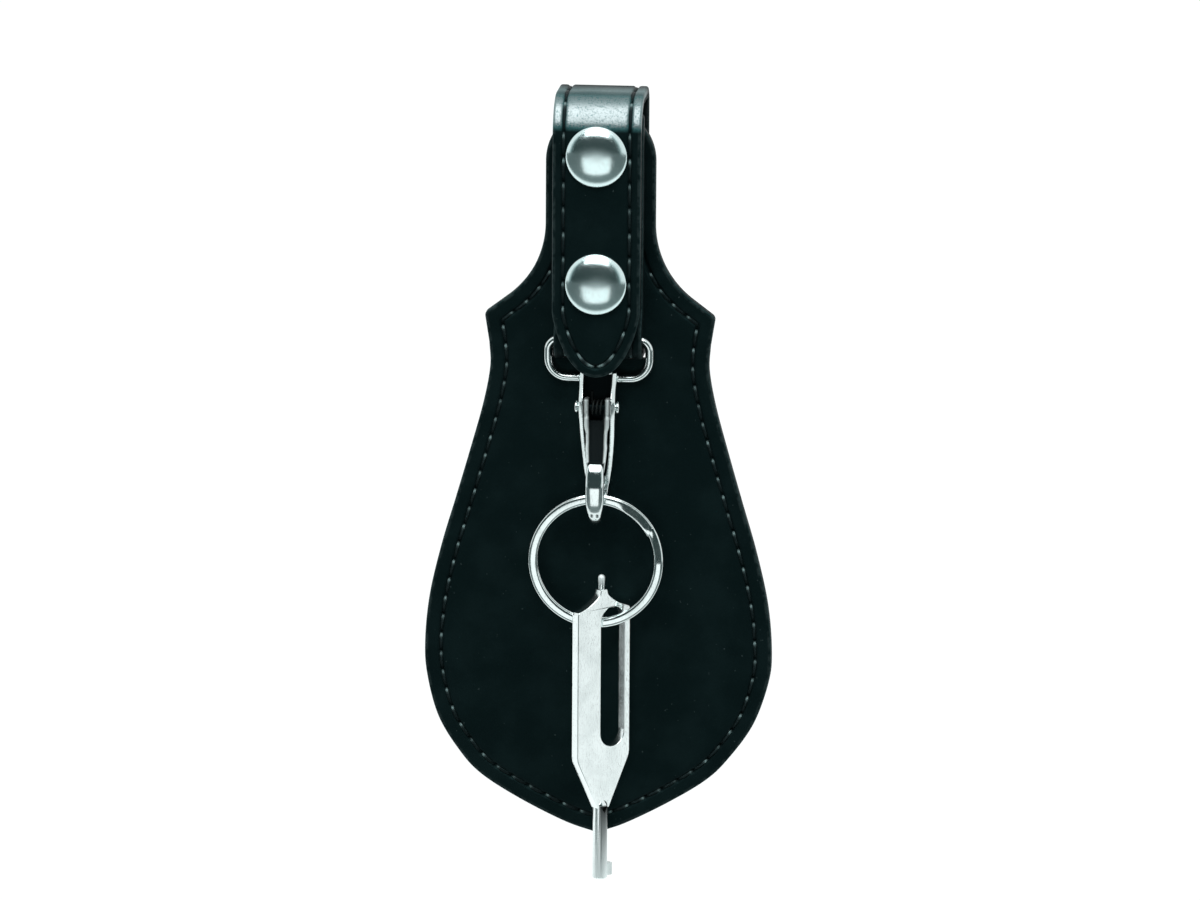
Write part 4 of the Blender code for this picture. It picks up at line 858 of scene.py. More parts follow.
def stitches(name, line, pitch, height, place, sink, body, skip=None, pale=None):
    """Separate stitches along a flat seam line, left out where skip says so, with more painted highlight, so
    paler, below a height.
    """
    rng = random.Random(SEED + len(line))
    runs, fitted = seam_runs(line, pitch)
    shape = bmesh.new()
    uv = shape.loops.layers.uv.new("UVMap")
    wear_and_highlight = shape.verts.layers.float.new("wear_and_highlight")
    strand_scale = pitch / MM / STITCH_STATIONS * 2.0
    for number in range(round(runs[-1] / fitted)):
        span = (number * fitted, (number + 1) * fitted)
        middle = points_at(sum(span) / 2, runs, line)
        if skip and skip(middle):
            continue
        slant = rng.uniform(-STITCH_SLANT, STITCH_SLANT) * MM
        glint, glints = rng.uniform(*STITCH_GLINT), THREAD_GLINTS
        if pale is not None and middle[1] < pale:
            glint, glints = max(glint, TIP_GLINT_LEAST), TIP_GLINTS
        level = height - sink + rng.uniform(-STITCH_LIFT, STITCH_LIFT) * MM
        rings = stitch(shape, wear_and_highlight, place, (runs, line), span, level, slant, [glint * share for share in glints])
        for index, face in enumerate(skin(shape, rings)):
            station, side = divmod(index, STITCH_SIDES)
            corners = ((station, side), (station, side + 1), (station + 1, side + 1), (station + 1, side))
            for loop, (u, v) in zip(face.loops, corners):
                loop[uv].uv = (u * strand_scale, v / STITCH_SIDES * 3.0)
        shape.faces.new(list(reversed(rings[0])))
        shape.faces.new(rings[-1])
    return finish_object(name, shape, "thread", body, 70.0, weld=0.0)


# Flap

def flap_half():
    """Right half of the flap's outline (x, z), from the top of the neck to the tip."""
    crown = (0.0, FLAP_TOP - NECK_RADIUS * NECK_CROWN_SHARE)
    points = [(0.0, FLAP_TOP)] + arc(crown, NECK_RADIUS, math.asin(NECK_CROWN_SHARE), 0.0, 40)
    flare = (NECK_RADIUS + FLARE_RADIUS, FLAP_TOP - NECK_LENGTH)
    points += arc(flare, FLARE_RADIUS, math.pi, math.pi + FLARE_ANGLE, 40)
    shoulder = (points[-1][0] + SHOULDER_RUN * math.sin(FLARE_ANGLE),
                points[-1][1] - SHOULDER_RUN * math.cos(FLARE_ANGLE))
    length = shoulder[1] - FLAP_LOW
    body = [(wide * FLAP_HALF_WIDTH, shoulder[1] - drop * length) for wide, drop in FLAP_BODY_SHARES]
    points += rounded_corner(points[-1], shoulder, body[0], SHOULDER_RADIUS, 14)
    return even_points(points + smooth_through(body, 24), POINT_SPACING)


def flap_place(depth):
    """Lays a flat ply on the flap's plane, which waves a little, with its inner face at a depth."""
    start, pull, power = FLAP_DRAW

    def place(across, along, height):
        fade = min(1.0, max(0.0, (-along - FLAP_WAVE_START) / FLAP_WAVE_RUN))
        wave = FLAP_WAVE * noise.noise(Vector((across, along, 0.0)) / FLAP_WAVE_SPAN) * fade
        drawn = pull * max(0.0, -along / start - 1.0) ** power if across > 0.0 else 0.0
        return Vector((across * (1.0 - drawn), -depth - height - wave, along))
    return place


def back_place(depth):
    """As flap_place, for a ply that faces back."""
    front = flap_place(depth)
    return lambda across, along, height: front(across, along, -height)


def seam_stitches(name, seam, *rest, **choices):
    """Stitches along both halves of a seam, the right one first."""
    halves = (("right", (1.0, 1.0)), ("left", (-1.0, 1.0)))
    return [stitches(f"{name}_{word}", seam * sides, *rest, **choices) for word, sides in halves]


def build_flap():
    """The flap's face and lining, cut for the strap's slot and the snap posts, with their stitches."""
    half = flap_half()
    low = SLOT_TOP - SLOT_HEIGHT
    corners = ((SLOT_HALF, SLOT_TOP), (SLOT_HALF, low), (-SLOT_HALF, low), (-SLOT_HALF, SLOT_TOP))
    slot = rounded_polygon(corners, SLOT_CORNER)
    holes = [arc((0.0, -drop), POST_HOLE_RADIUS, 0.0, 2 * math.pi, 48)[:-1] for drop in SNAP_DROPS]
    middle = (LINING_FRONT + FLAP_FRONT) / 2 - PLY_SHIFT
    front, back = flap_place(middle), back_place(middle)
    face, lining = FLAP_FRONT - middle, middle - FLAP_BACK
    sides = (
        ("flap_face_panel", "flap_face", face, FACE_EDGE_RADIUS, front, "leather", [slot]),
        ("flap_lining_panel", "flap_lining", lining, LINING_EDGE_RADIUS, back, "lining", [slot] + holes),
    )
    for name, node, thickness, radius, place, look, cuts in sides:
        shape = ply(half, thickness, radius, FLAP_SEAM_INSET, FLAP_PITCH, place, FLAP_COLUMNS)
        for cut in cuts:
            shape = combined(shape, extruded([cut], CUTTER_DEPTH, facing_out(middle)), "DIFFERENCE")
        item = finish_object(name, shape, look, "loop_and_flap", 50.0)
        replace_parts(item, node)
    seam = inset_half(half, FLAP_SEAM_INSET)
    rows = (
        ("flap_stitches_front", "flap_thread_front", front, face,
         lambda spot: abs(spot[0]) < STRAP_HALF + SEAM_COVER and spot[1] > -LOOP_HEIGHT),
        ("flap_stitches_back", "flap_thread_back", back, lining,
         lambda spot: spot[1] > -LOOP_HEIGHT - BACK_SEAM_DROP),
    )
    for name, node, place, height, skip in rows:
        items = seam_stitches(name, seam, FLAP_PITCH, height, place, FLAP_SINK, "loop_and_flap", skip=skip)
        for item in items:
            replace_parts(item, node)


# Strap

def tail_path():
    """The lining's inner face (y, z) from the belt's top edge over the front bend to past the tip."""
    points = [(BELT_HALF - REAR_TOP_RADIUS, 0.0)]
    bend_depth = TAIL_BACK - FRONT_BEND_RADIUS
    points += arc((-bend_depth, -FRONT_BEND_RADIUS), FRONT_BEND_RADIUS, math.pi / 2, math.pi, 60)
    points.append((-TAIL_BACK, TAIL_LOW - 2 * MM))
    return points


def fixed_path():
    """The same face from the belt's top edge down the back, under the belt and round the eye to its end."""
    quarter = math.pi / 2
    bar = (-BAR_DEPTH, -BAR_DROP)
    low = (RAMP_LOW_RADIUS - BAR_DEPTH - FOLD_RADIUS, RAMP_RISE - BAR_DROP)
    both = RAMP_LOW_RADIUS + RAMP_HIGH_RADIUS
    aside = BAR_DEPTH + FOLD_RADIUS - STRAP_END_BACK - both * (1 - math.cos(RAMP_ANGLE))
    rise = low[1] + aside / math.tan(RAMP_ANGLE) + both * math.sin(RAMP_ANGLE)
    points = arc((BELT_HALF - REAR_TOP_RADIUS, -REAR_TOP_RADIUS), REAR_TOP_RADIUS, quarter, 0.0, 24)
    rear = (BELT_HALF - REAR_LOW_RADIUS, REAR_LOW_RADIUS - LOOP_HEIGHT)
    points += arc(rear, REAR_LOW_RADIUS, 0.0, -quarter, 24)
    points += arc(bar, FOLD_RADIUS, -quarter, -2 * quarter, 24)
    points += arc(low, RAMP_LOW_RADIUS, 2 * quarter, 2 * quarter - RAMP_ANGLE, 12)
    points += arc((-STRAP_END_BACK - RAMP_HIGH_RADIUS, rise), RAMP_HIGH_RADIUS, -RAMP_ANGLE, 0.0, 12)
    points.append((-STRAP_END_BACK, -STRAP_END_TOP))
    return points


class Bent:
    """A line of (y, z) points along which a flat ply is bent."""

    def __init__(self, points, turned_left):
        line = np.array(points)
        self.line = line[np.concatenate([[True], np.diff(run_lengths(line)) > 1e-7])]
        self.runs = run_lengths(self.line)
        self.turned_left = turned_left
        arms = np.diff(self.line, axis=0)
        arms /= np.linalg.norm(arms, axis=1)[:, None]
        self.arms = np.concatenate([arms[:1], (arms[:-1] + arms[1:]) / 2, arms[-1:]])

    def place(self, offset, side=1.0):
        """Lays a ply with its inner face at an offset from the line, facing away from it or toward it."""
        def laid(across, along, height):
            spot = points_at(-along, self.runs, self.line)
            arm = points_at(-along, self.runs, self.arms)
            arm /= np.linalg.norm(arm)
            normal = (-arm[1], arm[0]) if self.turned_left else (arm[1], -arm[0])
            out = offset + side * height
            return Vector((across, spot[0] + normal[0] * out, spot[1] + normal[1] * out))
        return laid


def tail_half(tip):
    """Right half of the tail's outline (across, along), straight and then curved in to its blunt tip."""
    waist = (STRAP_HALF * TAIL_SHOULDER_SHARES[0], TAIL_TAPER * TAIL_SHOULDER_SHARES[1])
    knots = ((STRAP_HALF, TAIL_TAPER), waist, (STRAP_HALF * TAIL_TIP_SHARE, 0.0), (0.0, 0.0))
    outline = [(STRAP_HALF, 0.0)]
    for step in range(49):
        t = step / 48
        weights = ((1 - t) ** 3, 3 * t * (1 - t) ** 2, 3 * t * t * (1 - t), t ** 3)
        across, up = (sum(w * knot[axis] for w, knot in zip(weights, knots)) for axis in (0, 1))
        outline.append((across, up - tip))
    return even_points(outline, POINT_SPACING)


def fixed_half(end):
    """Right half of the fixed run's outline (across, along), with rounded corners at its end."""
    corner = rounded_corner((STRAP_HALF, 0.0), (STRAP_HALF, -end), (0.0, -end), END_CORNER, 8)
    return even_points([(STRAP_HALF, 0.0)] + corner + [(0.0, -end)], POINT_SPACING)


def on_bend(angle):
    """A point of the strap's outer face round its front bend."""
    centre = Vector((0.0, FRONT_BEND_RADIUS - TAIL_BACK, -FRONT_BEND_RADIUS))
    return centre + Vector((0.0, -math.sin(angle), math.cos(angle))) * (FRONT_BEND_RADIUS + STRAP_THICKNESS)


def build_strap():
    """The strap in two runs, face and lining each: the tail with the front bend, and the fixed run."""
    tail, fixed = Bent(tail_path(), False), Bent(fixed_path(), True)
    flat_top = BELT_HALF - REAR_TOP_RADIUS + TAIL_BACK - FRONT_BEND_RADIUS
    tip = flat_top + FRONT_BEND_RADIUS * math.pi / 2 - FRONT_BEND_RADIUS - TAIL_LOW

    def bend_gloss_and_sheen(along):
        return float(np.interp(math.degrees((-along - flat_top) / FRONT_BEND_RADIUS), *BEND_GLOSS_AND_SHEEN))

    blend_start, blend_end = on_bend(SPLIT_ANGLE - BLEND_ANGLE), on_bend(SPLIT_ANGLE + BLEND_ANGLE)
    runs = (
        ("tail", tail, tail_half(tip), bend_gloss_and_sheen, ("strap_outer_tail", "strap_lining_tail")),
        ("loop", fixed, fixed_half(fixed.runs[-1]), None, ("strap_outer_loop", "strap_lining_loop")),
    )
    for word, line, half, gloss_and_sheen, nodes in runs:
        front, back = line.place(STRAP_LINING), line.place(STRAP_LINING, -1.0)
        plies = (
            ("face", front, STRAP_THICKNESS - STRAP_LINING, FACE_EDGE_RADIUS, "leather", nodes[0], gloss_and_sheen),
            ("lining", back, STRAP_LINING, LINING_EDGE_RADIUS, "lining", nodes[1], None),
        )
        seam = inset_half(half, STRAP_SEAM_INSET)
        body, pale = (None, TIP_GLINT_RUN - tip) if word == "tail" else ("loop_and_flap", None)
        for layer, place, thickness, radius, look, node, shine in plies:
            name = f"strap_{word}_{layer}"
            shape = ply(half, thickness, radius, STRAP_SEAM_INSET, STRAP_PITCH, place, STRAP_COLUMNS, shine)
            pieces = [finish_object(name, shape, look, body, 50.0)]
            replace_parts(pieces[0], node)
            pieces += seam_stitches(f"{name}_stitches", seam, STRAP_PITCH, thickness, place, STRAP_SINK, body,
                                    pale=pale)
            if word == "tail":
                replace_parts(pieces[1], "tail_thread_outer" if layer == "face" else "tail_thread_inner")
                for piece in pieces:
                    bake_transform(piece, "loop_and_flap", "strap_tail", blend_start, blend_end)


# Snaps

def build_caps():
    """The two domed snap caps, with a rolled edge that sits on the leather."""
    profile = []
    for share in np.linspace(0.0, 1.0, 60):
        x = math.sin(share * math.pi / 2)
        dome = max(0.0, 1 - x ** CAP_DOME_POWERS[0]) ** CAP_DOME_POWERS[1]
        profile.append((CAP_RADIUS * x, CAP_EDGE_HEIGHT + (CAP_HEIGHT - CAP_EDGE_HEIGHT) * dome))
    rim = CAP_RADIUS - CAP_EDGE_HEIGHT
    profile += arc((rim, CAP_EDGE_HEIGHT), CAP_EDGE_HEIGHT, 0.0, -math.pi / 2, 10)[1:]
    profile += [(rim - CAP_FOOT, 0.0), (0.0, 0.0)]
    stem = [(0.0, STEM_TOP), (STEM_RADIUS, STEM_TOP), (STEM_RADIUS, STEM_LOW), (0.0, STEM_LOW)]
    for level, drop in zip(("upper", "lower"), SNAP_DROPS):
        node = f"snap_cap_{level}"
        tilt = Matrix.Rotation(CAP_TILTS[level], 4, "X")
        shape = turned(profile, facing_out(TAIL_FRONT - CAP_SINK, drop) @ tilt, 200)
        shape = combined(shape, turned(stem, facing_out(TAIL_FRONT, drop), 32), "UNION")
        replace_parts(finish_object(f"cap_{level}", shape, "nickel", "strap_tail", 45.0, look="cap"), node)


def refine(node, slot, width, smooth_angle):
    """Stand in for a CAD node with its own shape, its edges softened and its turned faces smooth."""
    source = frame["nodes"][node]
    shape = bmesh.new()
    shape.from_mesh(source.data)
    bmesh.ops.remove_doubles(shape, verts=shape.verts, dist=0.001 * MM)
    bmesh.ops.dissolve_limit(shape, angle_limit=math.radians(0.5), verts=shape.verts, edges=shape.edges)
    if width:
        shape = softened(shape, width, 2)
    item = finish_object(f"{node}_finished", shape, slot, source["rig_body"], smooth_angle)
    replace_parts(item, node)


# Hook

def section(centre, across, outward, half_width, thickness, power):
    """A superellipse that starts at centre and reaches a thickness outward."""
    middle = centre + outward * (thickness / 2)
    points = []
    for step in range(36):
        angle = 2 * math.pi * step / 36
        wide = signed_power(math.cos(angle), 2 / power) * half_width
        deep = signed_power(math.sin(angle), 2 / power) * thickness / 2
        points.append(middle + across * wide + outward * deep)
    return points


def eased(pairs, share):
    """A value read off a smooth line through (share, value) pairs."""
    return float(np.interp(share, *zip(*smooth_through(pairs, 8))))


def hook_half(drop):
    """Half the hook's width at a drop."""
    return eased(HOOK_WIDTHS, drop / MM) * MM


def hook_sections():
    """Sections from the top of the spine, down, round the bend and up to the nose's tip."""
    across, back = Vector((1.0, 0.0, 0.0)), Vector((0.0, 1.0, 0.0))
    top, bend = LOW_BAR_DROP - HOOK_TOP_RISE, LOW_BAR_DROP + HOOK_REACH
    sections = []
    for share in np.linspace(0.0, 1.0, 30):
        drop = top + (bend - top) * share
        start = Vector((0.0, -SPINE_FRONT, -drop))
        sections.append(section(start, across, back, hook_half(drop), SPINE_THICKNESS, SPINE_POWER))
    centre = Vector((0.0, -SPINE_FRONT - BEND_RADIUS, -bend))
    for share in np.linspace(0.0, 1.0, 25)[1:]:
        angle = -math.pi * share
        outward = Vector((0.0, math.cos(angle), math.sin(angle)))
        swell = math.sin(math.pi * share) ** 2
        side = SPINE_THICKNESS + (NOSE_THICKNESS - SPINE_THICKNESS) * share
        ends = HOOK_WIDTHS[-1][1] + (NOSE_ROWS[0][2] - HOOK_WIDTHS[-1][1]) * share
        wide = (ends + (BEND_LOW_HALF - ends) * swell) * MM
        thick = side + (BEND_THICKNESS - side) * swell
        sections.append(section(centre + outward * BEND_RADIUS, across, outward, wide, thick, BEND_POWER))
    for share in np.linspace(0.0, 1.0, 22)[1:]:
        thick = eased([(a, b) for a, b, _ in NOSE_ROWS], share) * MM
        wide = eased([(a, c) for a, _, c in NOSE_ROWS], share) * MM
        start = Vector((0.0, -SPINE_FRONT - 2 * BEND_RADIUS, NOSE_RISE * share - bend))
        sections.append(section(start, across, -back, wide, thick, NOSE_POWER))
    return sections


def wall_shape(side):
    """One of the hook's side walls, which carry the pin and run down into the spine."""
    sections = []
    middle = SPINE_FRONT - SPINE_THICKNESS / 2
    for drop in np.linspace(WALL_FRONTS[0][0], WALL_FRONTS[-1][0], 44):
        front = eased(WALL_FRONTS, drop) * MM
        outer = hook_half(drop * MM)
        inner = outer - WALL_THICKNESS
        fall = min(WALL_FALL, (front - middle) * 0.4)
        ring = ((inner, middle), (inner, front - fall * 0.15), (inner + 0.14 * MM, front),
                (outer - 0.12 * MM, front - fall * 0.8), (outer, front - fall), (outer, middle))
        sections.append([Vector((side * x, -depth, -drop * MM)) for x, depth in ring])
    return lofted(sections)


def eye_shape():
    """The strap eye: a round wire bent to a loop, tighter at its top corners."""
    half = (EYE_WIDTH - EYE_WIRE) / 2
    points = []
    corners = (
        (half, -BAR_DROP, EYE_TOP_CORNER, math.pi / 2), (half, -LOW_BAR_DROP, EYE_LOW_CORNER, 0.0),
        (-half, -LOW_BAR_DROP, EYE_LOW_CORNER, -math.pi / 2), (-half, -BAR_DROP, EYE_TOP_CORNER, math.pi),
    )
    for across, up, radius, start in corners:
        centre = (across - math.copysign(radius, across), up + (-radius if start >= math.pi / 2 else radius))
        points.extend(arc(centre, radius, start, start - math.pi / 2, 16))
    line = even_points(points + points[:1], 0.5 * MM)[:-1]
    sections = []
    for index, (x, z) in enumerate(line):
        arm = line[(index + 1) % len(line)] - line[index - 1]
        arm = arm / np.linalg.norm(arm)
        side, out = Vector((arm[1], 0.0, -arm[0])), Vector((0.0, -1.0, 0.0))
        centre = Vector((x, -BAR_DEPTH, z))
        sections.append([centre + (side * math.cos(a) + out * math.sin(a)) * (EYE_WIRE / 2)
                         for a in np.linspace(0.0, 2 * math.pi, 21)[:-1]])
    return lofted(sections, closed=True)


def spine_painted_shade(spot):
    """1 between the hook's walls, where the gate covers its spine and painted shade goes, and 0 elsewhere."""
    within = RECESS_DEPTHS[0] < spot.y < RECESS_DEPTHS[1] and RECESS_DROPS[0] < -spot.z < RECESS_DROPS[1]
    return 1.0 if within and abs(spot.x) < hook_half(-spot.z) - WALL_THICKNESS + RECESS_MARGIN else 0.0


def darken(shape, inside):
    """Mark how much painted shade each vertex gets, from 0 to 1: that far the metal's colour is painted
    toward near black.
    """
    layer = shape.verts.layers.float.new("painted_shade")
    for vertex in shape.verts:
        vertex[layer] = inside(vertex.co)


def dimple(shape):
    """Two small cast dimples low on the bend's front, with painted shade inside."""
    layer = shape.verts.layers.float["painted_shade"]
    depth, drop = SPINE_FRONT + BEND_RADIUS, LOW_BAR_DROP + HOOK_REACH
    for vertex in shape.verts:
        if vertex.co.y > -depth - 2 * MM or vertex.co.z > -drop:
            continue
        away = math.hypot(abs(vertex.co.x) - DIMPLE_SPREAD, vertex.co.z + DIMPLE_HEIGHT)
        share = math.exp(-(away / DIMPLE_SIZE) ** 2)
        outward = Vector((0.0, vertex.co.y + depth, vertex.co.z + drop)).normalized()
        vertex.co -= outward * (DIMPLE_DEPTH * share)
        vertex[layer] = max(vertex[layer], share ** 2)


def build_hook():
    """The cast hook in one piece: eye, side walls, spine, bend and nose, with small fillets between them."""
    shape = lofted(hook_sections())
    for piece in (eye_shape(), wall_shape(-1), wall_shape(1)):
        shape = combined(shape, piece, "UNION")
    item = mesh_object("hook_cast", shape)
    remesh = item.modifiers.new("cast", "REMESH")
    remesh.mode, remesh.voxel_size, remesh.adaptivity = "VOXEL", CAST_VOXEL, 0.0
    smooth = item.modifiers.new("fillet", "SMOOTH")
    smooth.factor, smooth.iterations = CAST_SMOOTHING
    shape = baked_shape(item)
    # Painted shade on the spine between the walls, behind the gate
    darken(shape, spine_painted_shade)
    dimple(shape)
    hook = finish_object("hook", shape, "nickel", "hook", 80.0, weld=0.0)
    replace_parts(hook, "hook_body")


def gate_section(drop):
    """The gate at a drop: a ridged leg on each side, with the web between them at the back."""
    drops, *columns = zip(*GATE_ROWS)
    back, front, wide, inner, web = (float(np.interp(drop, drops, column)) * MM for column in columns)
    ridge = inner + GATE_RIDGE_SHARE * (wide - inner)
    side = ((wide, back), (wide, front - GATE_RIDGE_SLOPE * (wide - ridge)), (ridge, front),
            (inner, front - GATE_RIDGE_SLOPE * (ridge - inner)), (inner, back + web))
    ring = side + tuple((-x, depth) for x, depth in reversed(side))
    return [Vector((x, -depth, -drop * MM)) for x, depth in ring]


def build_gate():
    """The gate: a channel with two square ears on its pin, its legs tapering down to the nose."""
    first, last = GATE_ROWS[0][0], GATE_ROWS[-1][0]
    shape = lofted([gate_section(first + (last - first) * share) for share in np.linspace(0.0, 1.0, 40)])
    half, low, top = GATE_WINDOW_HALF, -PIN_DROP - GATE_WINDOW_RUN, GATE_WINDOW_RISE - PIN_DROP
    window = rounded_polygon(((-half, low), (half, low), (half, top), (-half, top)), GATE_WINDOW_CORNER)
    shape = combined(shape, extruded([window], 8 * MM, facing_out(PIN_DEPTH)), "DIFFERENCE")
    shape = softened(shape, GATE_EDGE, 2, 60.0)
    # Painted shade down the gate's middle, where its channel is
    darken(shape, lambda spot: 1.0 if abs(spot.x) < half + GATE_WINDOW_DARK else 0.0)
    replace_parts(finish_object("gate", shape, "nickel", "gate", 42.0, look="gate"), "hook_gate")


def build_pin():
    """The gate's pin, with a low round head at each end and painted shade on its middle inside the hook."""
    side = [(PIN_SHAFT_RADIUS, along * MM) for along in (0.0, 3.4, 3.7)]
    side.append((PIN_SHAFT_RADIUS, PIN_HALF_LENGTH - 0.85 * MM))
    for share, short in ((0.9, 0.8), (1.0, 0.6), (1.0, 0.3), (0.86, 0.08), (0.6, 0.0), (0.0, 0.0)):
        side.append((PIN_HEAD_RADIUS * share, PIN_HALF_LENGTH - short * MM))
    profile = [(radius, -along) for radius, along in reversed(side)] + side[1:]
    place = Matrix.Translation((0.0, -PIN_DEPTH, -PIN_DROP)) @ Matrix.Rotation(math.pi / 2, 4, "Y")
    shape = turned(profile, place, 40)
    darken(shape, lambda spot: 1.0 if abs(spot.x) < PIN_DARK_HALF else 0.0)
    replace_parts(finish_object("pin", shape, "nickel", "hook", 50.0), "gate_pin")


# Ring and key

def ring_section(run, lift, skew):
    """The ring's wire at an angle from its start: flat-sided, in places ground on one side or rounder."""
    place = math.degrees(run + RING_JOG_PLACE) % 360.0
    grind = float(np.interp(place, *RING_GRIND_RUN))
    rounder = float(np.interp((place + 180.0) % 360.0, *RING_ROUND_RUN))
    centre, axis = Vector((0.0, lift - RING_DEPTH, -RING_DROP)), Vector((0.0, 1.0, 0.0))
    points = []
    for a in np.linspace(0.0, 2 * math.pi, 25)[:-1]:
        c, s = math.cos(a), math.sin(a)
        ground = grind if c < 0.0 else 0.0
        out = signed_power(s, RING_POWERS[0] - RING_GROUND_POWERS[0] * ground) * RING_RADIAL / 2
        power = RING_POWERS[1] - RING_GROUND_POWERS[1] * ground + RING_ROUND_POWER * rounder
        flat = signed_power(c, power) * RING_AXIAL / 2 + RING_GRIND * out * ground
        angle = RING_JOG_PLACE + run + skew * s
        radial = Vector((math.cos(angle), 0.0, math.sin(angle)))
        points.append(centre + radial * (RING_RADIUS + out) + axis * flat)
    return points


def build_ring():
    """The split ring: its wire is wound twice, steps from one layer to the other and is cut on a slant."""
    side = (RING_AXIAL + RING_LAYER_GAP) / 2
    total = 4 * math.pi - RING_JOG - RING_END_GAP
    count = round(total / (2 * math.pi) * RING_STEPS)
    sections = []
    for step in range(count + 1):
        run = total * step / count
        share = min(1.0, max(0.0, (run - 2 * math.pi + RING_JOG) / RING_JOG))
        ease = share * share * (3 - 2 * share)
        skew = RING_CUT_SKEW if step in (0, count) else 0.0
        sections.append(ring_section(run, side * (2 * ease - 1), skew))
    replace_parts(finish_object("ring", lofted(sections), "nickel", "ring", 60.0), "split_ring")


def key_plate():
    """The key's flat outline: its sloped shoulders, straight sides and taper to the barrel."""
    half = KEY_WIDTH / 2
    slope = [(KEY_PIN_RADIUS * 1.1, KEY_APEX_RISE + 0.9 * MM), (half * 0.2, KEY_APEX_RISE * 0.8),
             (half * 0.55, KEY_APEX_RISE * 0.26), (half - 0.25 * MM, KEY_SHOULDER_RISE + 0.15 * MM)]
    right = smooth_through(slope, 8) + [
        (half, KEY_SHOULDER_RISE - 0.5 * MM), (half, KEY_SIDE_LOW + 1.2 * MM),
        (half - 0.12 * MM, KEY_SIDE_LOW + 0.2 * MM), (half - 0.55 * MM, KEY_SIDE_LOW - 0.9 * MM),
        (KEY_BARREL_RADIUS, KEY_LOW),
    ]
    return right + [(-x, z) for x, z in reversed(right)]


def key_slot():
    """The key's long slot, round at both ends."""
    radius = KEY_SLOT_WIDTH / 2
    slot = arc((KEY_SLOT_OFFSET, -radius), radius, math.pi, 0.0, 24)
    return slot + arc((KEY_SLOT_OFFSET, radius - KEY_SLOT_LENGTH), radius, 0.0, -math.pi, 24)


def key_darkening(spot):
    """How dark the key is painted at a spot in its own frame: painted shade in its notch, and a little darker
    on the plate's cut sides.
    """
    in_notch = KEY_LOW + KEY_NOTCH_TOP + 0.1 * MM > spot.z > KEY_LOW - KEY_NOTCH_DROP - 0.1 * MM
    if abs(spot.x) < KEY_NOTCH_HALF + 0.05 * MM and in_notch:
        return KEY_NOTCH_SHADE if spot.y < -KEY_NOTCH_FRONT else 0.0
    on_side = abs(spot.y) < KEY_THICKNESS / 2 - KEY_EDGE * 0.9 and abs(spot.x) > KEY_BARREL_RADIUS + 0.1 * MM
    return KEY_SIDE_DARKENING if on_side else 0.0


def build_key():
    """The flat key: a slotted plate with soft edges, its pin, hollow barrel and bit."""
    stand = Matrix.Translation((KEY_SIDE_SHIFT, -KEY_DEPTH, -KEY_SLOT_TOP)) @ Matrix.Rotation(KEY_YAW, 4, "Z")
    upright = stand @ Matrix.Rotation(math.pi / 2, 4, "X")
    low, end, round_half = KEY_LOW, KEY_LOW - KEY_BARREL_LENGTH, KEY_BARREL_RADIUS
    pin = [(KEY_PIN_RADIUS * share, KEY_PIN_RISE - fall * MM)
           for share, fall in ((0.0, 0.0), (0.55, 0.08), (0.9, 0.4), (1.0, 0.8))]
    pin += [(KEY_PIN_RADIUS, 0.5 * MM), (0.0, 0.5 * MM)]
    barrel = [
        (0.0, low + 2.4 * MM), (round_half * 0.6, low + 2.2 * MM), (round_half, low + 0.9 * MM),
        (round_half, end + 0.3 * MM), (round_half - 0.25 * MM, end), (KEY_BORE_RADIUS, end),
        (KEY_BORE_RADIUS, end + KEY_BORE_DEPTH), (0.0, end + KEY_BORE_DEPTH),
    ]
    wall, reach = (round_half + KEY_BORE_RADIUS) / 2, round_half + KEY_BIT_REACH
    foot, head = end + KEY_BIT_RISE, end + KEY_BIT_RISE + KEY_BIT_HEIGHT
    bit = extruded([[(wall, foot), (reach, foot), (reach, head), (wall, head)]], KEY_BIT_THICKNESS, upright)
    shape = softened(extruded([key_plate(), key_slot()], KEY_THICKNESS, upright), KEY_EDGE)
    for piece in (turned(pin, stand, 32), turned(barrel, stand, 48), softened(bit, KEY_BIT_EDGE)):
        shape = combined(shape, piece, "UNION")
    top = low + KEY_NOTCH_TOP
    notch = [(-KEY_NOTCH_HALF, top), (KEY_NOTCH_HALF, top), (0.0, low - KEY_NOTCH_DROP)]
    front = upright @ Matrix.Translation((0.0, 0.0, round_half))
    shape = combined(shape, extruded([notch], 2 * KEY_NOTCH_DEPTH, front), "DIFFERENCE")
    back = stand.inverted()
    satin = shape.verts.layers.float.new("satin")
    for vertex in shape.verts:
        height = (back @ vertex.co).z
        vertex[satin] = 1.0 if height < low or height > KEY_APEX_RISE + KEY_SATIN_RISE else 0.0
    darken(shape, lambda spot: key_darkening(back @ spot))
    key = finish_object("key", shape, "key_steel", "key", 38.0)
    for face in key.data.polygons:
        facing = back.to_3x3() @ face.normal
        face.use_smooth = max(abs(facing.x), abs(facing.y)) < FLAT_FACING
    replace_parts(key, "flat_key")


# Studio

def around_target(azimuth, elevation, distance):
    """An offset from the middle of the object, by azimuth from the front and elevation."""
    flat = math.cos(elevation) * distance
    return Vector((math.sin(azimuth) * flat, -math.cos(azimuth) * flat, math.sin(elevation) * distance))


def add_light(name, azimuth, elevation, distance, width, height, radiance):
    """A soft rectangular light of a given radiance that looks at the middle of the object."""
    light = bpy.data.lights.new(name, "AREA")
    light.shape, light.size, light.size_y = "RECTANGLE", width, height
    light.energy = radiance * math.pi * width * height
    item = new_object(name, light)
    offset = around_target(math.radians(azimuth), math.radians(elevation), distance)
    item.location = CAMERA_TARGET + offset
    item.rotation_euler = offset.to_track_quat("Z", "Y").to_euler()
    item.visible_camera = False


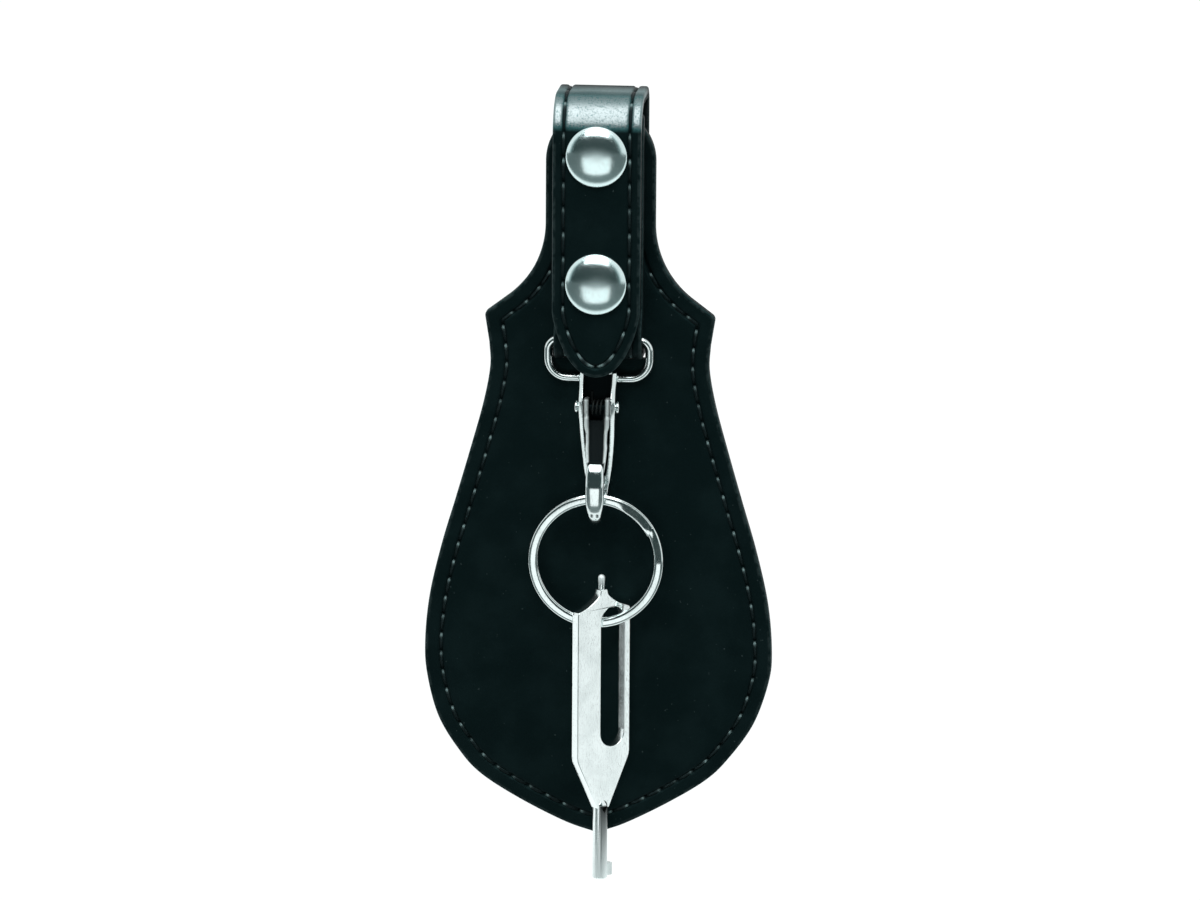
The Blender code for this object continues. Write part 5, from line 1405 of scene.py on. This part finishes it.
def build_world():
    """White surroundings, dim and slightly teal behind the camera; the camera's own rays see them white."""
    world = bpy.data.worlds.new("studio")
    bpy.context.scene.world = world
    tree = Tree(world, "Background")
    direction = tree.add("ShaderNodeTexCoord", "Generated")
    ahead = tree.add("ShaderNodeVectorMath", "Value", {0: direction, 1: DIM_SIDE}, operation="DOT_PRODUCT")
    seen = tree.add("ShaderNodeLightPath", "Is Camera Ray")
    level = {0: seen, 2: tree.spread(ahead, *DIM_SPREAD), 3: 1.0}
    level = tree.add("ShaderNodeMix", 0, level, data_type="FLOAT")
    tree.set(Strength=level, Color=tree.mix(level, WORLD_TEAL, WHITE))


def build_floor():
    """A pale floor far below; it glows for the camera and, but for its part in front, in reflections."""
    mesh = bpy.data.meshes.new("floor")
    corners = [(x * FLOOR_HALF, y * FLOOR_HALF, -FLOOR_DROP) for x, y in ((-1, -1), (1, -1), (1, 1), (-1, 1))]
    mesh.from_pydata(corners, [], [(0, 1, 2, 3)])
    floor = new_object("floor", mesh)
    tree = material_tree("floor_white")
    camera, glossy, through = (tree.add("ShaderNodeLightPath", f"Is {kind} Ray")
                               for kind in ("Camera", "Glossy", "Transmission"))
    seen = tree.larger(tree.larger(camera, glossy), through)
    along = tree.add("ShaderNodeSeparateXYZ", "Y", {"Vector": tree.place})
    ahead = tree.spread(along, -FLOOR_FADE[1], -FLOOR_FADE[0], 0.02, 1.0)
    seen = tree.times(seen, tree.larger(ahead, camera))
    glow = tree.times(seen, FLOOR_GLOW)
    mesh.materials.append(tree.set(Base_Color=FLOOR_BASE, Roughness=0.9, Specular_IOR_Level=0.0,
                                   Emission_Color=WHITE, Emission_Strength=glow))


def build_camera():
    """A long lens from the front and a little above."""
    data = bpy.data.cameras.new("camera")
    data.lens, data.sensor_width, data.clip_start = LENS, 36.0, 0.01
    camera = new_object("camera", data)
    offset = around_target(CAMERA_AZIMUTH, CAMERA_ELEVATION, CAMERA_DISTANCE)
    turn = offset.to_track_quat("Z", "Y").to_matrix().to_4x4() @ Matrix.Rotation(CAMERA_ROLL, 4, "Z")
    camera.matrix_world = Matrix.Translation(CAMERA_TARGET + offset) @ turn
    bpy.context.scene.camera = camera
    bpy.context.scene.view_settings.view_transform = "Standard"


build_world()
build_floor()
for light in LIGHTS:
    add_light(*light)
build_camera()
build_flap()
build_strap()
build_caps()
for level in ("upper", "lower"):
    for piece, finish, width, smooth_angle in SNAP_PIECES:
        refine(f"{piece}_{level}", finish, width, smooth_angle)
build_hook()
build_gate()
build_pin()
# The gate spring's dark look is painted shade
refine("gate_spring", "spring_steel", 0.0, 70.0)
build_ring()
build_key()
